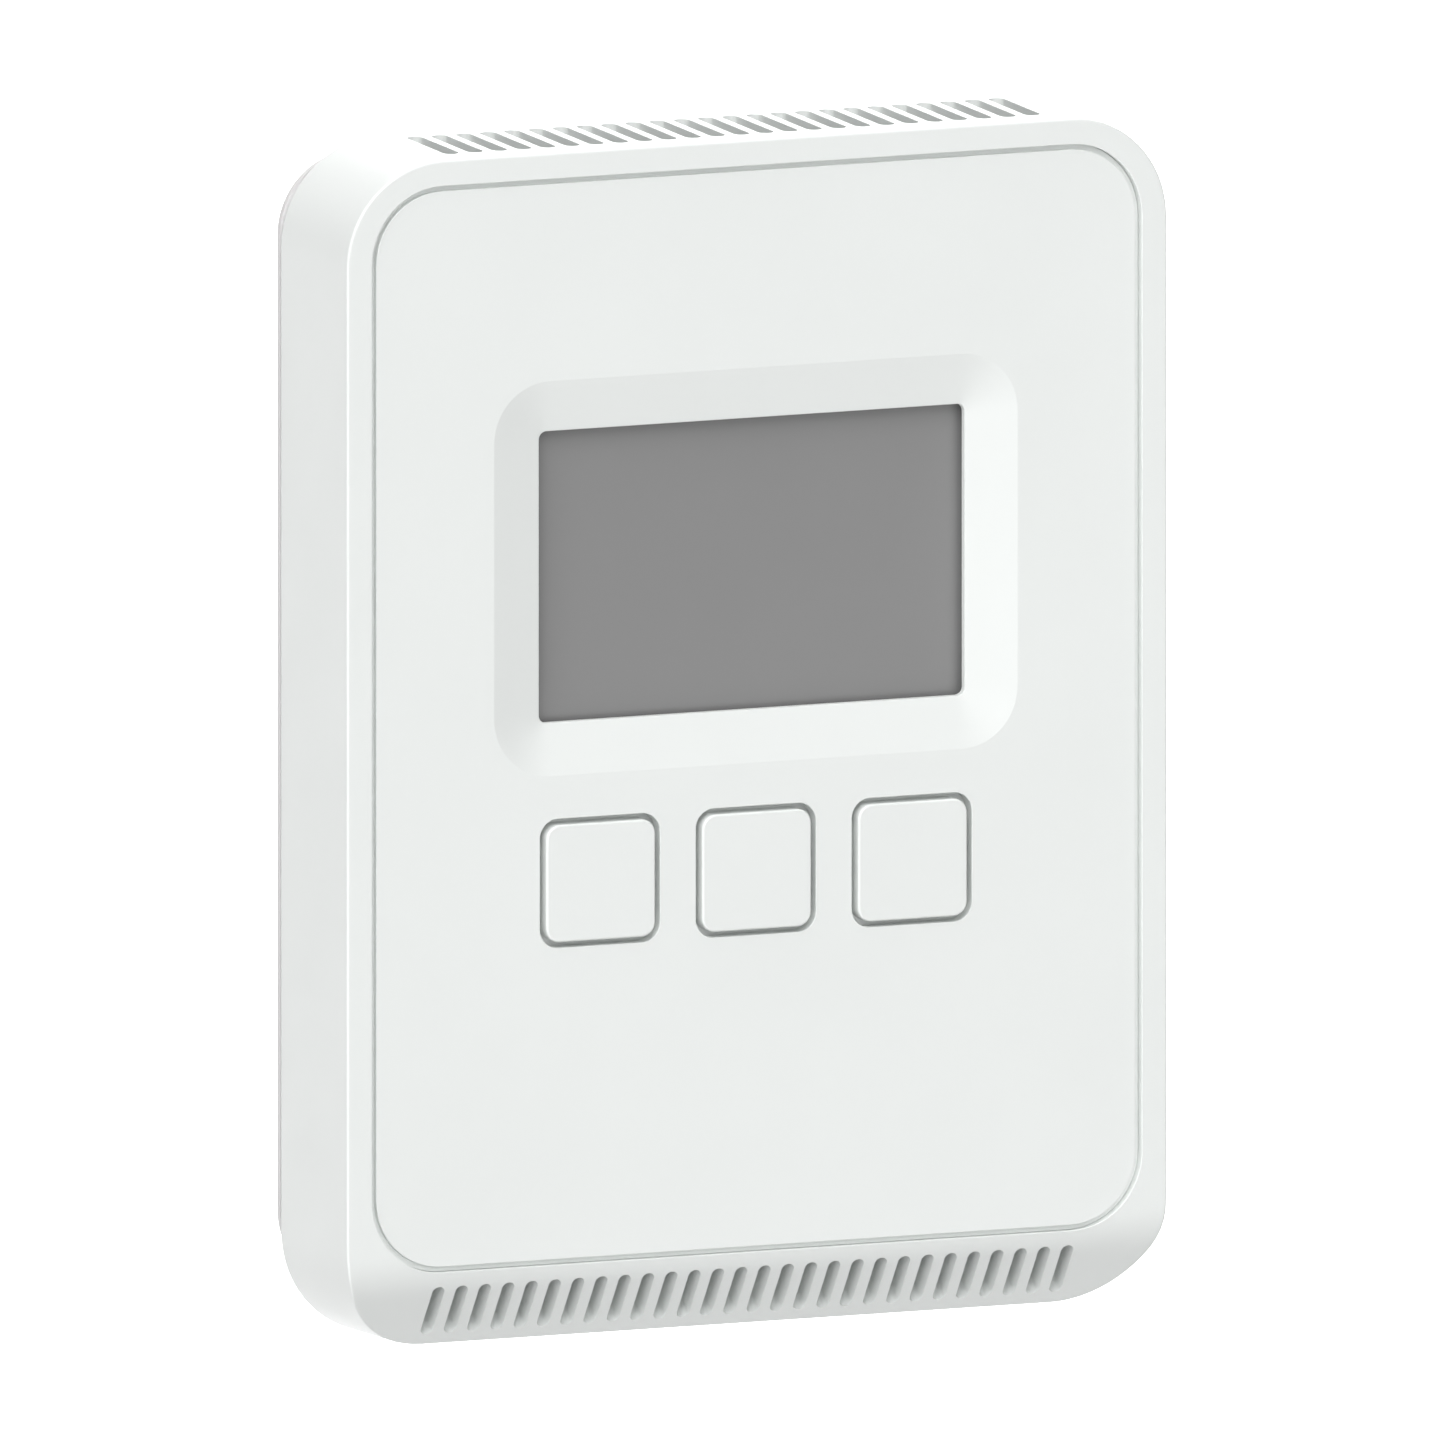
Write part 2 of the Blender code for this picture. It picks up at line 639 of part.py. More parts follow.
def fin_bar():
    """Bar along the slant that its slots are cut through."""
    corners = []
    for distance, depth in ((FIN_SPAN[0], FIN_SKIN), (FIN_SPAN[1], FIN_SKIN), (FIN_SPAN[1], FIN_DEPTH),
                            (FIN_SPAN[0], FIN_DEPTH)):
        y, z = slant_point(distance)
        corners.append((y + depth * math.cos(CHAMFER_ANGLE), z + depth * math.sin(CHAMFER_ANGLE)))
    return bar_along_x(corners, FIN_HALF_WIDTH)


def panel_shape(grow, front, back):
    size = (PANEL_WIDTH + 2 * grow, PANEL_HEIGHT + 2 * grow, PANEL_CORNER + grow)
    return shifted(stepped_slab((back, *size), (front, *size)), 0, 0, PANEL_Z)


def top_slots():
    near, far = TOP_SLOT_DEPTHS
    top = FRONT_HEIGHT / 2 + 0.2
    return slot_cutter(TOP_SLOTS, TOP_SLOT_PITCH, TOP_SLOT_WIDTH, (FRONT_Y + near, top), (FRONT_Y + far, top),
                       (1, 0), (0, -1), 2.5)


def low_slots():
    near, far = LOW_SLOT_SPAN
    sine = math.sin(CHAMFER_ANGLE)
    cosine = math.cos(CHAMFER_ANGLE)
    return slot_cutter(LOW_SLOTS, LOW_SLOT_PITCH, LOW_SLOT_WIDTH, slant_point(near), slant_point(far),
                       (sine, -cosine), (cosine, sine), LOW_SLOT_REACH)


def tongue_notch(side):
    center = side * TONGUE_X
    half = TONGUE_WIDTH / 2 + GAP
    low = (center - half, -2.9, HALF_RIM_HEIGHT - 2.6)
    high = (center + half, RIM_Y + 1, HALF_RIM_HEIGHT - 0.9)
    return cutter("notch_left" if side < 0 else "notch_right", block(low, high))


def face_panel(hinge):
    """Flat fascia with a stepped edge, the display's sloped recess and the button holes."""
    step_y = PANEL_Y + SEAM_DEPTH
    foot = SEAM - GAP
    mesh = stepped_slab((PANEL_BACK_Y, PANEL_WIDTH + 2 * foot, PANEL_HEIGHT + 2 * foot, PANEL_CORNER + foot),
                        (step_y, PANEL_WIDTH + 2 * foot, PANEL_HEIGHT + 2 * foot, PANEL_CORNER + foot),
                        (step_y, PANEL_WIDTH, PANEL_HEIGHT, PANEL_CORNER),
                        (PANEL_Y, PANEL_WIDTH, PANEL_HEIGHT, PANEL_CORNER))
    panel = part("face_panel", shifted(mesh, 0, 0, PANEL_Z), WHITE_PLASTIC, parent=hinge)
    frame = stepped_slab((DISPLAY_FRAME_Y, *DISPLAY_FRAME), (PANEL_BACK_Y - 0.5, *DISPLAY_FRAME))
    boolean(panel, cutter("display_frame", shifted(frame, z=DISPLAY_Z)), "UNION")
    window_y = PANEL_Y + RECESS_DEPTH
    spread = [(outer - inner) * 0.5 / RECESS_DEPTH for outer, inner in zip(RECESS_SIZE, WINDOW_SIZE)]
    above = (RECESS_SIZE[0] + spread[0], RECESS_SIZE[1] + spread[1], RECESS_CORNER + 1.0)
    window = (*WINDOW_SIZE, WINDOW_CORNER)
    pocket = [side + 2 * UNDERCUT for side in WINDOW_SIZE] + [WINDOW_CORNER + UNDERCUT]
    lip_y = window_y + WINDOW_LIP
    recess = stepped_slab((window_y + 4, *pocket), (lip_y, *pocket), (lip_y, *window), (window_y, *window),
                          (PANEL_Y, *RECESS_SIZE, RECESS_CORNER), (PANEL_Y - 0.5, *above))
    boolean(panel, cutter("display_recess", shifted(recess, 0, 0, DISPLAY_Z)))
    for number in (1, 2, 3):
        hole = stepped_slab((PANEL_BACK_Y + 1, BUTTON_HOLE, BUTTON_HOLE, BUTTON_HOLE_CORNER),
                            (PANEL_Y - 1, BUTTON_HOLE, BUTTON_HOLE, BUTTON_HOLE_CORNER), arc_steps=4)
        boolean(panel, cutter(f"button_hole_{number}", shifted(hole, button_x(number), 0, BUTTON_Z)))


def button_x(number):
    return (number - 2) * BUTTON_PITCH


def display(hinge):
    """Smoked lens, liquid crystal cell, its holder, light guide and contact strips."""
    center = (0, 0, DISPLAY_Z)
    lens = stepped_slab((LENS_Y[0], *LENS_SIZE), (LENS_Y[1], *LENS_SIZE), arc_steps=3)
    part("display_lens", lens, SMOKED_LENS, center, hinge)
    part("lcd_glass", centered_block(CELL_HALF, CELL_Y), GLASS, center, hinge)
    part("lcd_backlight", centered_block(GUIDE_HALF, GUIDE_Y), DIFFUSER, center, hinge)
    for name, z in (("contact_strip_upper", STRIP_Z), ("contact_strip_lower", -STRIP_Z)):
        strip = shifted(centered_block((GUIDE_HALF[0], STRIP_HALF_HEIGHT), GUIDE_Y), z=z)
        part(name, strip, RUBBER, center, hinge)
    rim = stepped_slab((HOLDER_Y[0], *HOLDER_SIZE), (HOLDER_Y[1], *HOLDER_SIZE), arc_steps=2)
    holder = part("lcd_holder", rim, WHITE_PLASTIC, center, hinge)
    room = [side + GAP for side in CELL_HALF]
    boolean(holder, cutter("holder_hollow", shifted(centered_block(room, (-9.0, -14.0)), z=DISPLAY_Z)))


def centered_block(half, depths):
    """Box centred on the Y axis from its half width and half height, between two depths."""
    return block((-half[0], depths[1], -half[1]), (half[0], depths[0], half[1]))


def main_board(hinge):
    low, high = MAIN_BOARD_Z
    size = (MAIN_BOARD_WIDTH, high - low, MAIN_BOARD_CORNER)
    mesh = stepped_slab((MAIN_BOARD_Y[0], *size), (MAIN_BOARD_Y[1], *size), arc_steps=3)
    board = part("main_board", mesh, GREEN_BOARD, (0, 0, (low + high) / 2), hinge)
    rear = MAIN_BOARD_Y[0] + GAP
    holes = bmesh.new()
    for number, (x, z) in enumerate(MAIN_SCREW_SPOTS, 1):
        add_drum(holes, HOLE_RADIUS, (x, -12, z), (x, -6, z))
        profile = [(radius, -along) for radius, along in reversed(pan_screw(4.5))]
        part(f"main_board_screw_{number}", turned(profile), STEEL, (x, rear, z), hinge, smooth=40)
    boolean(board, cutter("main_board_holes", finished(holes)))
    for name, (x, z), (side, height) in (("microcontroller", CONTROLLER_SPOT, CONTROLLER_SIZE),
                                         ("humidity_sensor", SENSOR_SPOT, SENSOR_SIZE)):
        chip = centered_block((side / 2, side / 2), (height, 0))
        part(name, chip, BLACK_PLASTIC, (x, rear, z), hinge)


def pin_header(hinge):
    """Row of pins on the main board that reach into the wall side's socket."""
    rear = MAIN_BOARD_Y[0] + GAP
    base = centered_block(HEADER_HALF, (HEADER_HEIGHT, 0))
    header = part("pin_header", base, BLACK_PLASTIC, (SOCKET_X, rear, SOCKET_Z), hinge)
    pins = bmesh.new()
    for index in range(HEADER_PINS):
        z = SOCKET_Z + (index - (HEADER_PINS - 1) / 2) * PIN_PITCH
        add_block(pins, (SOCKET_X - PIN_HALF, rear + HEADER_HEIGHT / 2, z - PIN_HALF),
                  (SOCKET_X + PIN_HALF, rear + PIN_REACH, z + PIN_HALF))
    boolean(header, cutter("header_pins", finished(pins)), "UNION")


def buttons(hinge):
    """Square caps with a flange behind the panel, and the push switches under them."""
    flange_back, flange_front = BUTTON_FLANGE_Y
    flange = (BUTTON_FLANGE, BUTTON_FLANGE, 1.5)
    size = (BUTTON_SIZE, BUTTON_SIZE, BUTTON_CORNER)
    face = [side - 2 * BUTTON_ROUND for side in size[:2]] + [BUTTON_CORNER - BUTTON_ROUND]
    for number in (1, 2, 3):
        x = button_x(number)
        axis = empty(f"button_axis_{number}", (x, FRONT_Y, BUTTON_Z), hinge)
        cap = stepped_slab((flange_back, *flange), (flange_front, *flange), (flange_front, *size),
                           (FRONT_Y + BUTTON_ROUND, *size), (FRONT_Y, *face), arc_steps=4)
        button = part(f"button_cap_{number}", cap, WHITE_PLASTIC, (x, 0, BUTTON_Z), axis)
        stem = drum(STEM_RADIUS, (x, flange_back - 0.4, BUTTON_Z), (x, STEM_END_Y, BUTTON_Z))
        boolean(button, cutter(f"button_stem_{number}", stem), "UNION")
        plunger = drum(PLUNGER_RADIUS, (0, 0, 0), (0, PLUNGER_Y[1] - PLUNGER_Y[0], 0))
        part(f"switch_plunger_{number}", plunger, BLACK_PLASTIC, (x, PLUNGER_Y[0], BUTTON_Z), axis)
        can = centered_block((SWITCH_HALF, SWITCH_HALF), (0, -SWITCH_HEIGHT))
        body = part(f"switch_body_{number}", can, STEEL, (x, MAIN_BOARD_Y[1] - GAP, BUTTON_Z), hinge)
        bore = drum(SWITCH_BORE, (x, -13.5, BUTTON_Z), (x, SWITCH_BORE_END_Y, BUTTON_Z))
        boolean(body, cutter(f"switch_bore_{number}", bore))


def lock_screw(hinge):
    """Security screw under the cover with the washer that rides on it."""
    slide = empty("lock_axis", (0, LOCK_Y, LOCK_HEAD_Z), hinge)
    head = LOCK_HEAD_RADIUS
    profile = [(head - 0.4, 0), (head, 0.3), (head, 1.0), (SHANK_RADIUS, 1.0), (SHANK_RADIUS, LOCK_LENGTH)]
    screw = part("lock_screw", turned(profile, "Z"), STEEL, (0, LOCK_Y, LOCK_HEAD_Z), slide, smooth=40)
    slit = block((-2.5, LOCK_Y - 0.3, LOCK_HEAD_Z - 0.5), (2.5, LOCK_Y + 0.3, LOCK_HEAD_Z + 0.5))
    boolean(screw, cutter("lock_screw_slit", slit))
    ring = drum(WASHER_RADIUS, (0, 0, 0), (0, 0, WASHER_THICKNESS), "Z", 20)
    washer = part("lock_washer", ring, STEEL, (0, LOCK_Y, WASHER_Z), slide)
    boolean(washer, cutter("washer_bore", drum(PILOT_RADIUS, (0, LOCK_Y, -60), (0, LOCK_Y, -56), "Z")))


def build():
    back_plate()
    terminal_board()
    terminal_board_screws()
    terminal_block()
    terminal_screws()
    terminal_clamps()
    base_components()
    hinge = empty("cover_hinge", HINGE)
    front_cover(hinge)
    face_panel(hinge)
    display(hinge)
    main_board(hinge)
    pin_header(hinge)
    buttons(hinge)
    lock_screw(hinge)


build()
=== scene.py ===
"""Looks of the wall thermostat: finer visible pieces, procedural materials, studio light and camera.

Lengths are in millimetres and MM turns them into metres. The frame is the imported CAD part's: +X to the right,
+Y into the wall, +Z up, with the origin at the centre of the wall plate's rear face.
"""
import json
import math

import bmesh
import bpy
from mathutils import Matrix, Vector

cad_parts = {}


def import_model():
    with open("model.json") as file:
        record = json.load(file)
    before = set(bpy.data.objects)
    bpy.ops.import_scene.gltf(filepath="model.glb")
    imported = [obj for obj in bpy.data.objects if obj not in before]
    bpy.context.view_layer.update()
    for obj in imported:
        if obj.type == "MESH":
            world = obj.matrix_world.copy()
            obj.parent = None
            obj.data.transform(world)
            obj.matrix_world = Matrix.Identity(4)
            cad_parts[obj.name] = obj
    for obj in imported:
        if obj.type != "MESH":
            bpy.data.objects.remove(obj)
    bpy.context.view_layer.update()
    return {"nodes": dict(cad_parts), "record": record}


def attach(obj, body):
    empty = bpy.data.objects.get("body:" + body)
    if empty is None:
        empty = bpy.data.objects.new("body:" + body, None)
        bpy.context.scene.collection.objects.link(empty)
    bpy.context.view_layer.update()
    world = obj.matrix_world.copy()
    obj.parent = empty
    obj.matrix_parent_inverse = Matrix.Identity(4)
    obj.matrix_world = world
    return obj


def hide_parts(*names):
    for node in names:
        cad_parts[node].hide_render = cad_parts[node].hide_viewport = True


MM = 0.001
GAP = 0.3                      # clearance between pieces that meet

# Body, as in the CAD part.
FRONT_WIDTH = 88.0
FRONT_HEIGHT = 118.64
FRONT_CORNER = 10.24
FRONT_Y = -16.8
DRAFT = math.tan(math.radians(1.3))
EDGE_ROUND = 0.24
WALL = 2.0
RIM_Y = -1.09
RIM_BREAK = 0.12               # broken rear edge
SHELF_Y = FRONT_Y + 2.1
CAVITY_Y = SHELF_Y + 1.5
FRONT_OPENING = (66.0, 88.0, 5.0)
SLANT_Z = -52.15
SLANT_ANGLE = math.radians(35.25)
SLANT_BLEND = 7.3              # radius between the flat front and the slant
HALF_RIM_HEIGHT = FRONT_HEIGHT / 2 + (RIM_Y - FRONT_Y) * DRAFT

# Vents.
TOP_SLOTS = 25
TOP_SLOT_PITCH = 2.6
TOP_SLOT_WIDTH = 1.65
TOP_SLOT_DEPTHS = (3.2, 13.5)
TOP_SLOT_REACH = 2.8
LOW_SLOTS = 28
LOW_SLOT_PITCH = 2.5
LOW_SLOT_WIDTH = 1.33
LOW_SLOT_SPAN = (1.24, 7.55)
LOW_SLOT_REACH = 5.2
FIN_DEPTH = 4.0                # thickness of the slant where its slots go through
FIN_SPAN = (0.9, 8.6)
FIN_SKIN = 0.8
FIN_HALF_WIDTH = 36.0
SLOT_START = -1.2              # cutters start outside the surface
SLOT_STEPS = 8

# Panel and display.
PANEL_Y = FRONT_Y + 0.3
PANEL_BACK_Y = PANEL_Y + 1.5
PANEL_SIZE = (81.5, 107.26, 7.0)
PANEL_Z = 2.6
SEAM = 0.56
SEAM_DEPTH = 0.65
SEAT_BREAK = 0.05              # broken edge round the panel's seat
FOOT_GAP = 0.04
PANEL_EDGE = ((0.06, 0), (0.02, -0.02), (0, -0.06))    # depth below the face, growth
DISPLAY_Z = 16.88
RECESS_SIZE = (56.2, 39.4, 6.0)
RECESS_DEPTH = 1.05
WINDOW_EDGE = ((-0.03, 0.05), (0.03, 0))    # depth from the window's plane, growth
WINDOW_SIZE = (45.7, 29.1, 0.8)
WINDOW_LIP = 0.72              # thickness of the window's edge, undercut behind
UNDERCUT = 1.5
LENS_SIZE = (50.0, 34.0, 0.5)
LENS_Y = (-13.0, -13.75)       # rear and front faces
LENS_ROUND = 0.08
DISPLAY_FRAME = (60.0, 43.0, 7.0)
DISPLAY_FRAME_Y = -14.05

# Buttons.
BUTTON_PITCH = 16.74
BUTTON_Z = -13.57
BUTTON_HOLE = (12.88, 12.88, 1.95)
BUTTON_HOLE_EDGE = ((0.05, 0), (-0.1, 0.15))    # depth below the face, growth
BUTTON_SIZE = (11.7, 11.7, 1.45)
BUTTON_ROUND = 0.23
BUTTON_FLANGE = (14.8, 14.8, 1.5)
BUTTON_FLANGE_Y = (-14.0, -14.7)
BUTTON_STEM = (2.2, -13.2)     # radius and rear end

# Wall plate.
PLATE_SIZE = (88.66, 113.2, 8.0)
PLATFORM_SIZE = (84.0, 110.8, 7.0)
PLATE_Z = 1.6
PLATE_FLANGE_Y = -0.85
PLATE_FRONT_Y = -2.2
PLATE_ROUND = 0.15
SKIRT_SIZE = (84.1, 114.4, 8.2)    # closes the room between the plate's ends and the cover
SKIRT_Y = (-1.3, -2.1)
TONGUE_X = 24.0
TONGUE_WIDTH = 6.0
TONGUE_THICKNESS = 0.8
TONGUE_FRONT_Y = -2.58
TONGUE_ROOT = 0.55             # how far the tongues reach into the plate
NOTCH_Y = (-2.9, RIM_Y + 1)
NOTCH_DEPTHS = (2.6, 0.9)      # below the cover's top at its rim
WIRE_OPENING = (34.0, 18.0, 3.0)
WIRE_OPENING_Z = -22.0
WALL_SCREW_SLOTS = ((-30.0, 4.0), (30.0, 4.0), (0.0, 48.0))
WALL_SLOT = (8.0, 3.8, 1.89)
SLOT_SEAT = 1.4                # wider round the slot, for the screw's head
LUG_LOW = (-3.5, -8.9, -53.8)
LUG_HIGH = (3.5, -1.6, -51.4)
GUSSETS = (((-2.9, -6.0, -52.0), (-2.1, -2.0, -50.9)), ((2.1, -6.0, -52.0), (2.9, -2.0, -50.9)))
CUT_Y = (1, -4)                # cuts right through the plate
RELIEF_DEPTH = 0.5             # hollows in the rear face, with ribs left between them
RELIEFS = (                    # x, z, width and height of each
    (-26.5, 49.0, 25.0, 9.0), (26.5, 49.0, 25.0, 9.0), (-26.5, 37.0, 25.0, 11.0),
    (0.0, 34.5, 24.0, 16.0), (26.5, 37.0, 25.0, 11.0), (-26.5, 20.5, 25.0, 18.0),
    (0.0, 16.0, 24.0, 17.0), (26.5, 20.5, 25.0, 18.0), (0.0, -1.5, 38.0, 14.0),
    (-31.0, -8.5, 18.0, 14.0), (31.0, -8.5, 18.0, 14.0), (-30.0, -25.5, 20.0, 16.0),
    (30.0, -25.5, 20.0, 16.0), (-30.0, -43.5, 20.0, 16.0), (0.0, -42.0, 36.0, 14.0),
    (30.0, -43.5, 20.0, 16.0))

# Boards and what stands on them.
MAIN_BOARD_Y = (-8.5, -9.7)    # rear and front faces
MAIN_BOARD_FRONT_Y = MAIN_BOARD_Y[1]
MAIN_SCREW_SPOTS = ((-37.0, 40.0), (37.0, 40.0), (-37.0, -26.0), (37.0, -26.0))
BASE_BOARD_FRONT_Y = -4.1
BASE_SCREW_SPOTS = ((35.0, -46.0), (-34.5, -30.5))
PILOT_RADIUS = 1.25
BOSS_RADIUS = 2.6
BOSS_ROOT = 0.6                # how far the bosses reach into the front wall
PILOT_END = 0.2
HEAD_RADIUS = 1.9
SHANK_RADIUS = 0.95
SCREW_SIDES = 24
HEAD_PROFILE = ((1, 0), (1, 0.45), (0.93, 0.75), (0.74, 0.98), (0.4, 1.1))    # share of the radius, height
CROSS_ARMS = ((1.05, 0.2), (0.2, 1.05))
CROSS_DEPTHS = (0.55, 1.5)
CONTROLLER_SPOT = (10.0, 20.0)
CONTROLLER_HALF = 5.0
LEGS = 11
LEG_PITCH = 0.8
LEG_HALF = 0.17
LEG_PARTS = (                  # inner and outer end from the body's side, low and high side from its foot
    (-0.1, 0.55, 0.62, 0.78), (0.4, 0.56, 0.0, 0.78), (0.42, 1.0, 0.0, 0.16))
TERMINAL_Z = -44.3
POLES = 6
POLE_PITCH = 5.08
RELAY_X = 24.5
RELAY_SIZE = 12.0
RELAY_FRONT_Y = -12.0
RELAY_CORNER = 0.8
RELAY_ROUND = 0.4
RELAY_FOOT = ((0, 0), (-1.3, 0), (-1.3, -0.15), (-1.55, -0.15), (-1.55, 0))    # depth from the foot, growth
RELAY_DIMPLE = (0.6, 4.2, 0.15)    # radius, place up and to the right, depth
RELAY_FIELD = (8.0, 6.0, 0.6)
RELAY_FIELD_SPOT = (-0.6, -1.2)
RELAY_FIELD_DEPTH = 0.12

# Lock screw: radius, bottom and top of each upright bore or boss.
LOCK_Y = -6.8
LOCK_BOSS = (3.0, -58.5, -54.9)
LOCK_HEAD_BORE = (2.1, -62, -56.1)
LOCK_SHANK_BORE = (PILOT_RADIUS, -58, -53)
LOCK_PILOT = (PILOT_RADIUS, -56, -50)

# Small parts on the boards: x, z, width, height and thickness.
STAND_OFF = 0.02               # from a board's face
CAP_SHARE = 0.22               # soldered end cap, as a share of the part's length
CAP_PROUD = 0.02
CHIP_ROW_Z = -35.9
TERMINAL_BOARD_CHIPS = (
    *[((index - (POLES - 1) / 2) * POLE_PITCH, CHIP_ROW_Z, 1.3, 2.0, 0.55) for index in range(POLES)],
    *[(side * RELAY_X, CHIP_ROW_Z, 4.4, 2.6, 1.3) for side in (-1, 1)],
    (31.5, CHIP_ROW_Z, 1.3, 2.0, 0.6), (34.0, CHIP_ROW_Z, 1.3, 2.0, 0.6), (-36.0, -14.5, 2.0, 1.3, 0.6),
    (-36.0, -17.5, 2.0, 1.3, 0.6), (-36.0, -20.5, 2.0, 1.3, 0.6), (-25.3, -14.5, 1.3, 2.0, 0.6))
MAIN_BOARD_CHIPS = (
    *[(CONTROLLER_SPOT[0] - 4.5 + 3 * index, CONTROLLER_SPOT[1] + 8.4, 1.3, 2.0, 0.7) for index in range(4)],
    *[(CONTROLLER_SPOT[0] - 4.5 + 3 * index, CONTROLLER_SPOT[1] - 8.4, 1.3, 2.0, 0.7) for index in range(4)],
    *[(CONTROLLER_SPOT[0] - 8.6, CONTROLLER_SPOT[1] - 3 + 2.6 * index, 2.0, 1.3, 0.6) for index in range(4)],
    (-14.0, 30.0, 3.2, 2.5, 1.2), (-14.0, 26.0, 3.2, 1.6, 0.7), (-14.0, 23.0, 3.2, 1.6, 0.7),
    (-20.0, -26.0, 2.0, 1.3, 0.6), (-16.0, -26.0, 2.0, 1.3, 0.6), (-12.0, -26.0, 2.0, 1.3, 0.6),
    (28.0, -25.0, 1.3, 2.0, 0.6), (-30.0, -9.0, 2.0, 1.3, 0.6), (-26.0, -9.0, 2.0, 1.3, 0.6))
CRYSTAL_SIZE = (11.0, 4.6, 2.2)
CRYSTAL_SPOT = (24, 30)
CRYSTAL_PROFILE = ((0, 0.2), (0.5, 0.2), (0.5, 0), (3.0, 0), (3.3, -0.12), (3.42, -0.4))    # height, growth

# Solder joints: radius, foot, tip, radius at the tip and sides.
SWITCH_PINS = (3.25, 2.25)     # from the switch's middle
SWITCH_JOINT = ((0.75, 0.02, 0.55, 0.3, 16), (0.28, 0.3, 0.9, 0.24, 12))
STRIP_JOINT = (0.6, 0.02, 0.45, 0.25, 16)
STRIP_JOINTS = 16
STRIP_PITCH = 2.54
STRIP_Z = 35.6

# Fineness of the meshes.
CORNER_STEPS = 16
EDGE_STEPS = 6
FRONT_STRIPS = 16
CAVITY_STRIPS = 8

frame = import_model()


# ---------------------------------------------------------------- mesh helpers

def finished(bm):
    bmesh.ops.recalc_face_normals(bm, faces=bm.faces)
    mesh = bpy.data.meshes.new("shape")
    bm.to_mesh(mesh)
    bm.free()
    return mesh


def outline(size, grow=0.0, steps=CORNER_STEPS):
    """(x, z) points of a rounded rectangle, anticlockwise."""
    width, height, radius = size[0] + 2 * grow, size[1] + 2 * grow, size[2] + grow
    points = []
    for corner, (side_x, side_z) in enumerate(((1, 1), (-1, 1), (-1, -1), (1, -1))):
        for step in range(steps + 1):
            angle = math.radians(90) * (corner + step / steps)
            points.append((side_x * (width / 2 - radius) + radius * math.cos(angle),
                           side_z * (height / 2 - radius) + radius * math.sin(angle)))
    return points


def ring(size, y, grow=0.0, z=0.0, steps=CORNER_STEPS):
    return [(px, y, pz + z) for px, pz in outline(size, grow, steps)]


def rings_at(size, z, levels, steps=CORNER_STEPS):
    """Rings of one outline, each at a (depth, growth) level."""
    return [ring(size, y, grow, z, steps) for y, grow in levels]


def add_rings(bm, rings, loop=False):
    """Closed surface through rings of equal point count. With loop the last ring joins the first."""
    rows = [[bm.verts.new(Vector(point) * MM) for point in points] for points in rings]
    pairs = list(zip(rows, rows[1:]))
    if loop:
        pairs.append((rows[-1], rows[0]))
    for row, following in pairs:
        for index, vert in enumerate(row):
            after = (index + 1) % len(row)
            bm.faces.new((vert, row[after], following[after], following[index]))
    if not loop:
        bm.faces.new(rows[0])
        bm.faces.new(rows[-1])


def ring_mesh(rings, loop=False):
    bm = bmesh.new()
    add_rings(bm, rings, loop)
    return finished(bm)


def add_block(bm, low, high):
    low = Vector(low) * MM
    high = Vector(high) * MM
    place = Matrix.Translation((low + high) / 2) @ Matrix.Diagonal((*(high - low), 1.0))
    bmesh.ops.create_cube(bm, size=1.0, matrix=place)


def blocks(*corners):
    bm = bmesh.new()
    for low, high in corners:
        add_block(bm, low, high)
    return finished(bm)


def add_drum(bm, radius, start, end, sides=32, tip=None):
    """Cylinder or cone between two points; tip is the radius at its end."""
    start = Vector(start) * MM
    end = Vector(end) * MM
    turn = (end - start).to_track_quat("Z", "Y").to_matrix().to_4x4()
    bmesh.ops.create_cone(bm, cap_ends=True, segments=sides, radius1=radius * MM,
                          radius2=(radius if tip is None else tip) * MM, depth=(end - start).length,
                          matrix=Matrix.Translation((start + end) / 2) @ turn)


def drums(*items):
    bm = bmesh.new()
    for item in items:
        add_drum(bm, *item)
    return finished(bm)


def shifted(mesh, x=0.0, y=0.0, z=0.0):
    mesh.transform(Matrix.Translation(Vector((x, y, z)) * MM))
    return mesh


def carve(mesh, *steps):
    """Mesh after exact booleans, each step an (operation, mesh) pair."""
    body = bpy.data.objects.new("carved", mesh)
    bpy.context.scene.collection.objects.link(body)
    tools = []
    for operation, tool_mesh in steps:
        tool = bpy.data.objects.new("tool", tool_mesh)
        bpy.context.scene.collection.objects.link(tool)
        tools.append(tool)
        modifier = body.modifiers.new("step", "BOOLEAN")
        modifier.operation = operation
        modifier.solver = "EXACT"
        modifier.object = tool
    graph = bpy.context.evaluated_depsgraph_get()
    result = bpy.data.meshes.new_from_object(body.evaluated_get(graph))
    for item in [body, *tools]:
        bpy.data.objects.remove(item)
    return result


def piece(name, mesh, look, body, nodes=(), smooth=35, bevel=0.0):
    """Visible piece that rides on a CAD body and stands for the CAD nodes given."""
    mesh.name = name
    mesh.materials.clear()
    mesh.materials.append(look)
    made = bpy.data.objects.new(name, mesh)
    bpy.context.scene.collection.objects.link(made)
    if bevel:
        rounding = made.modifiers.new("rounding", "BEVEL")
        rounding.width = bevel * MM
        rounding.segments = 3
        rounding.limit_method = "ANGLE"
        rounding.angle_limit = math.radians(40)
    mesh.shade_smooth()
    mesh.set_sharp_from_angle(angle=math.radians(smooth))
    weighting = made.modifiers.new("weighting", "WEIGHTED_NORMAL")
    weighting.keep_sharp = True
    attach(made, body)
    if nodes:
        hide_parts(*nodes)


# ---------------------------------------------------------------- materials

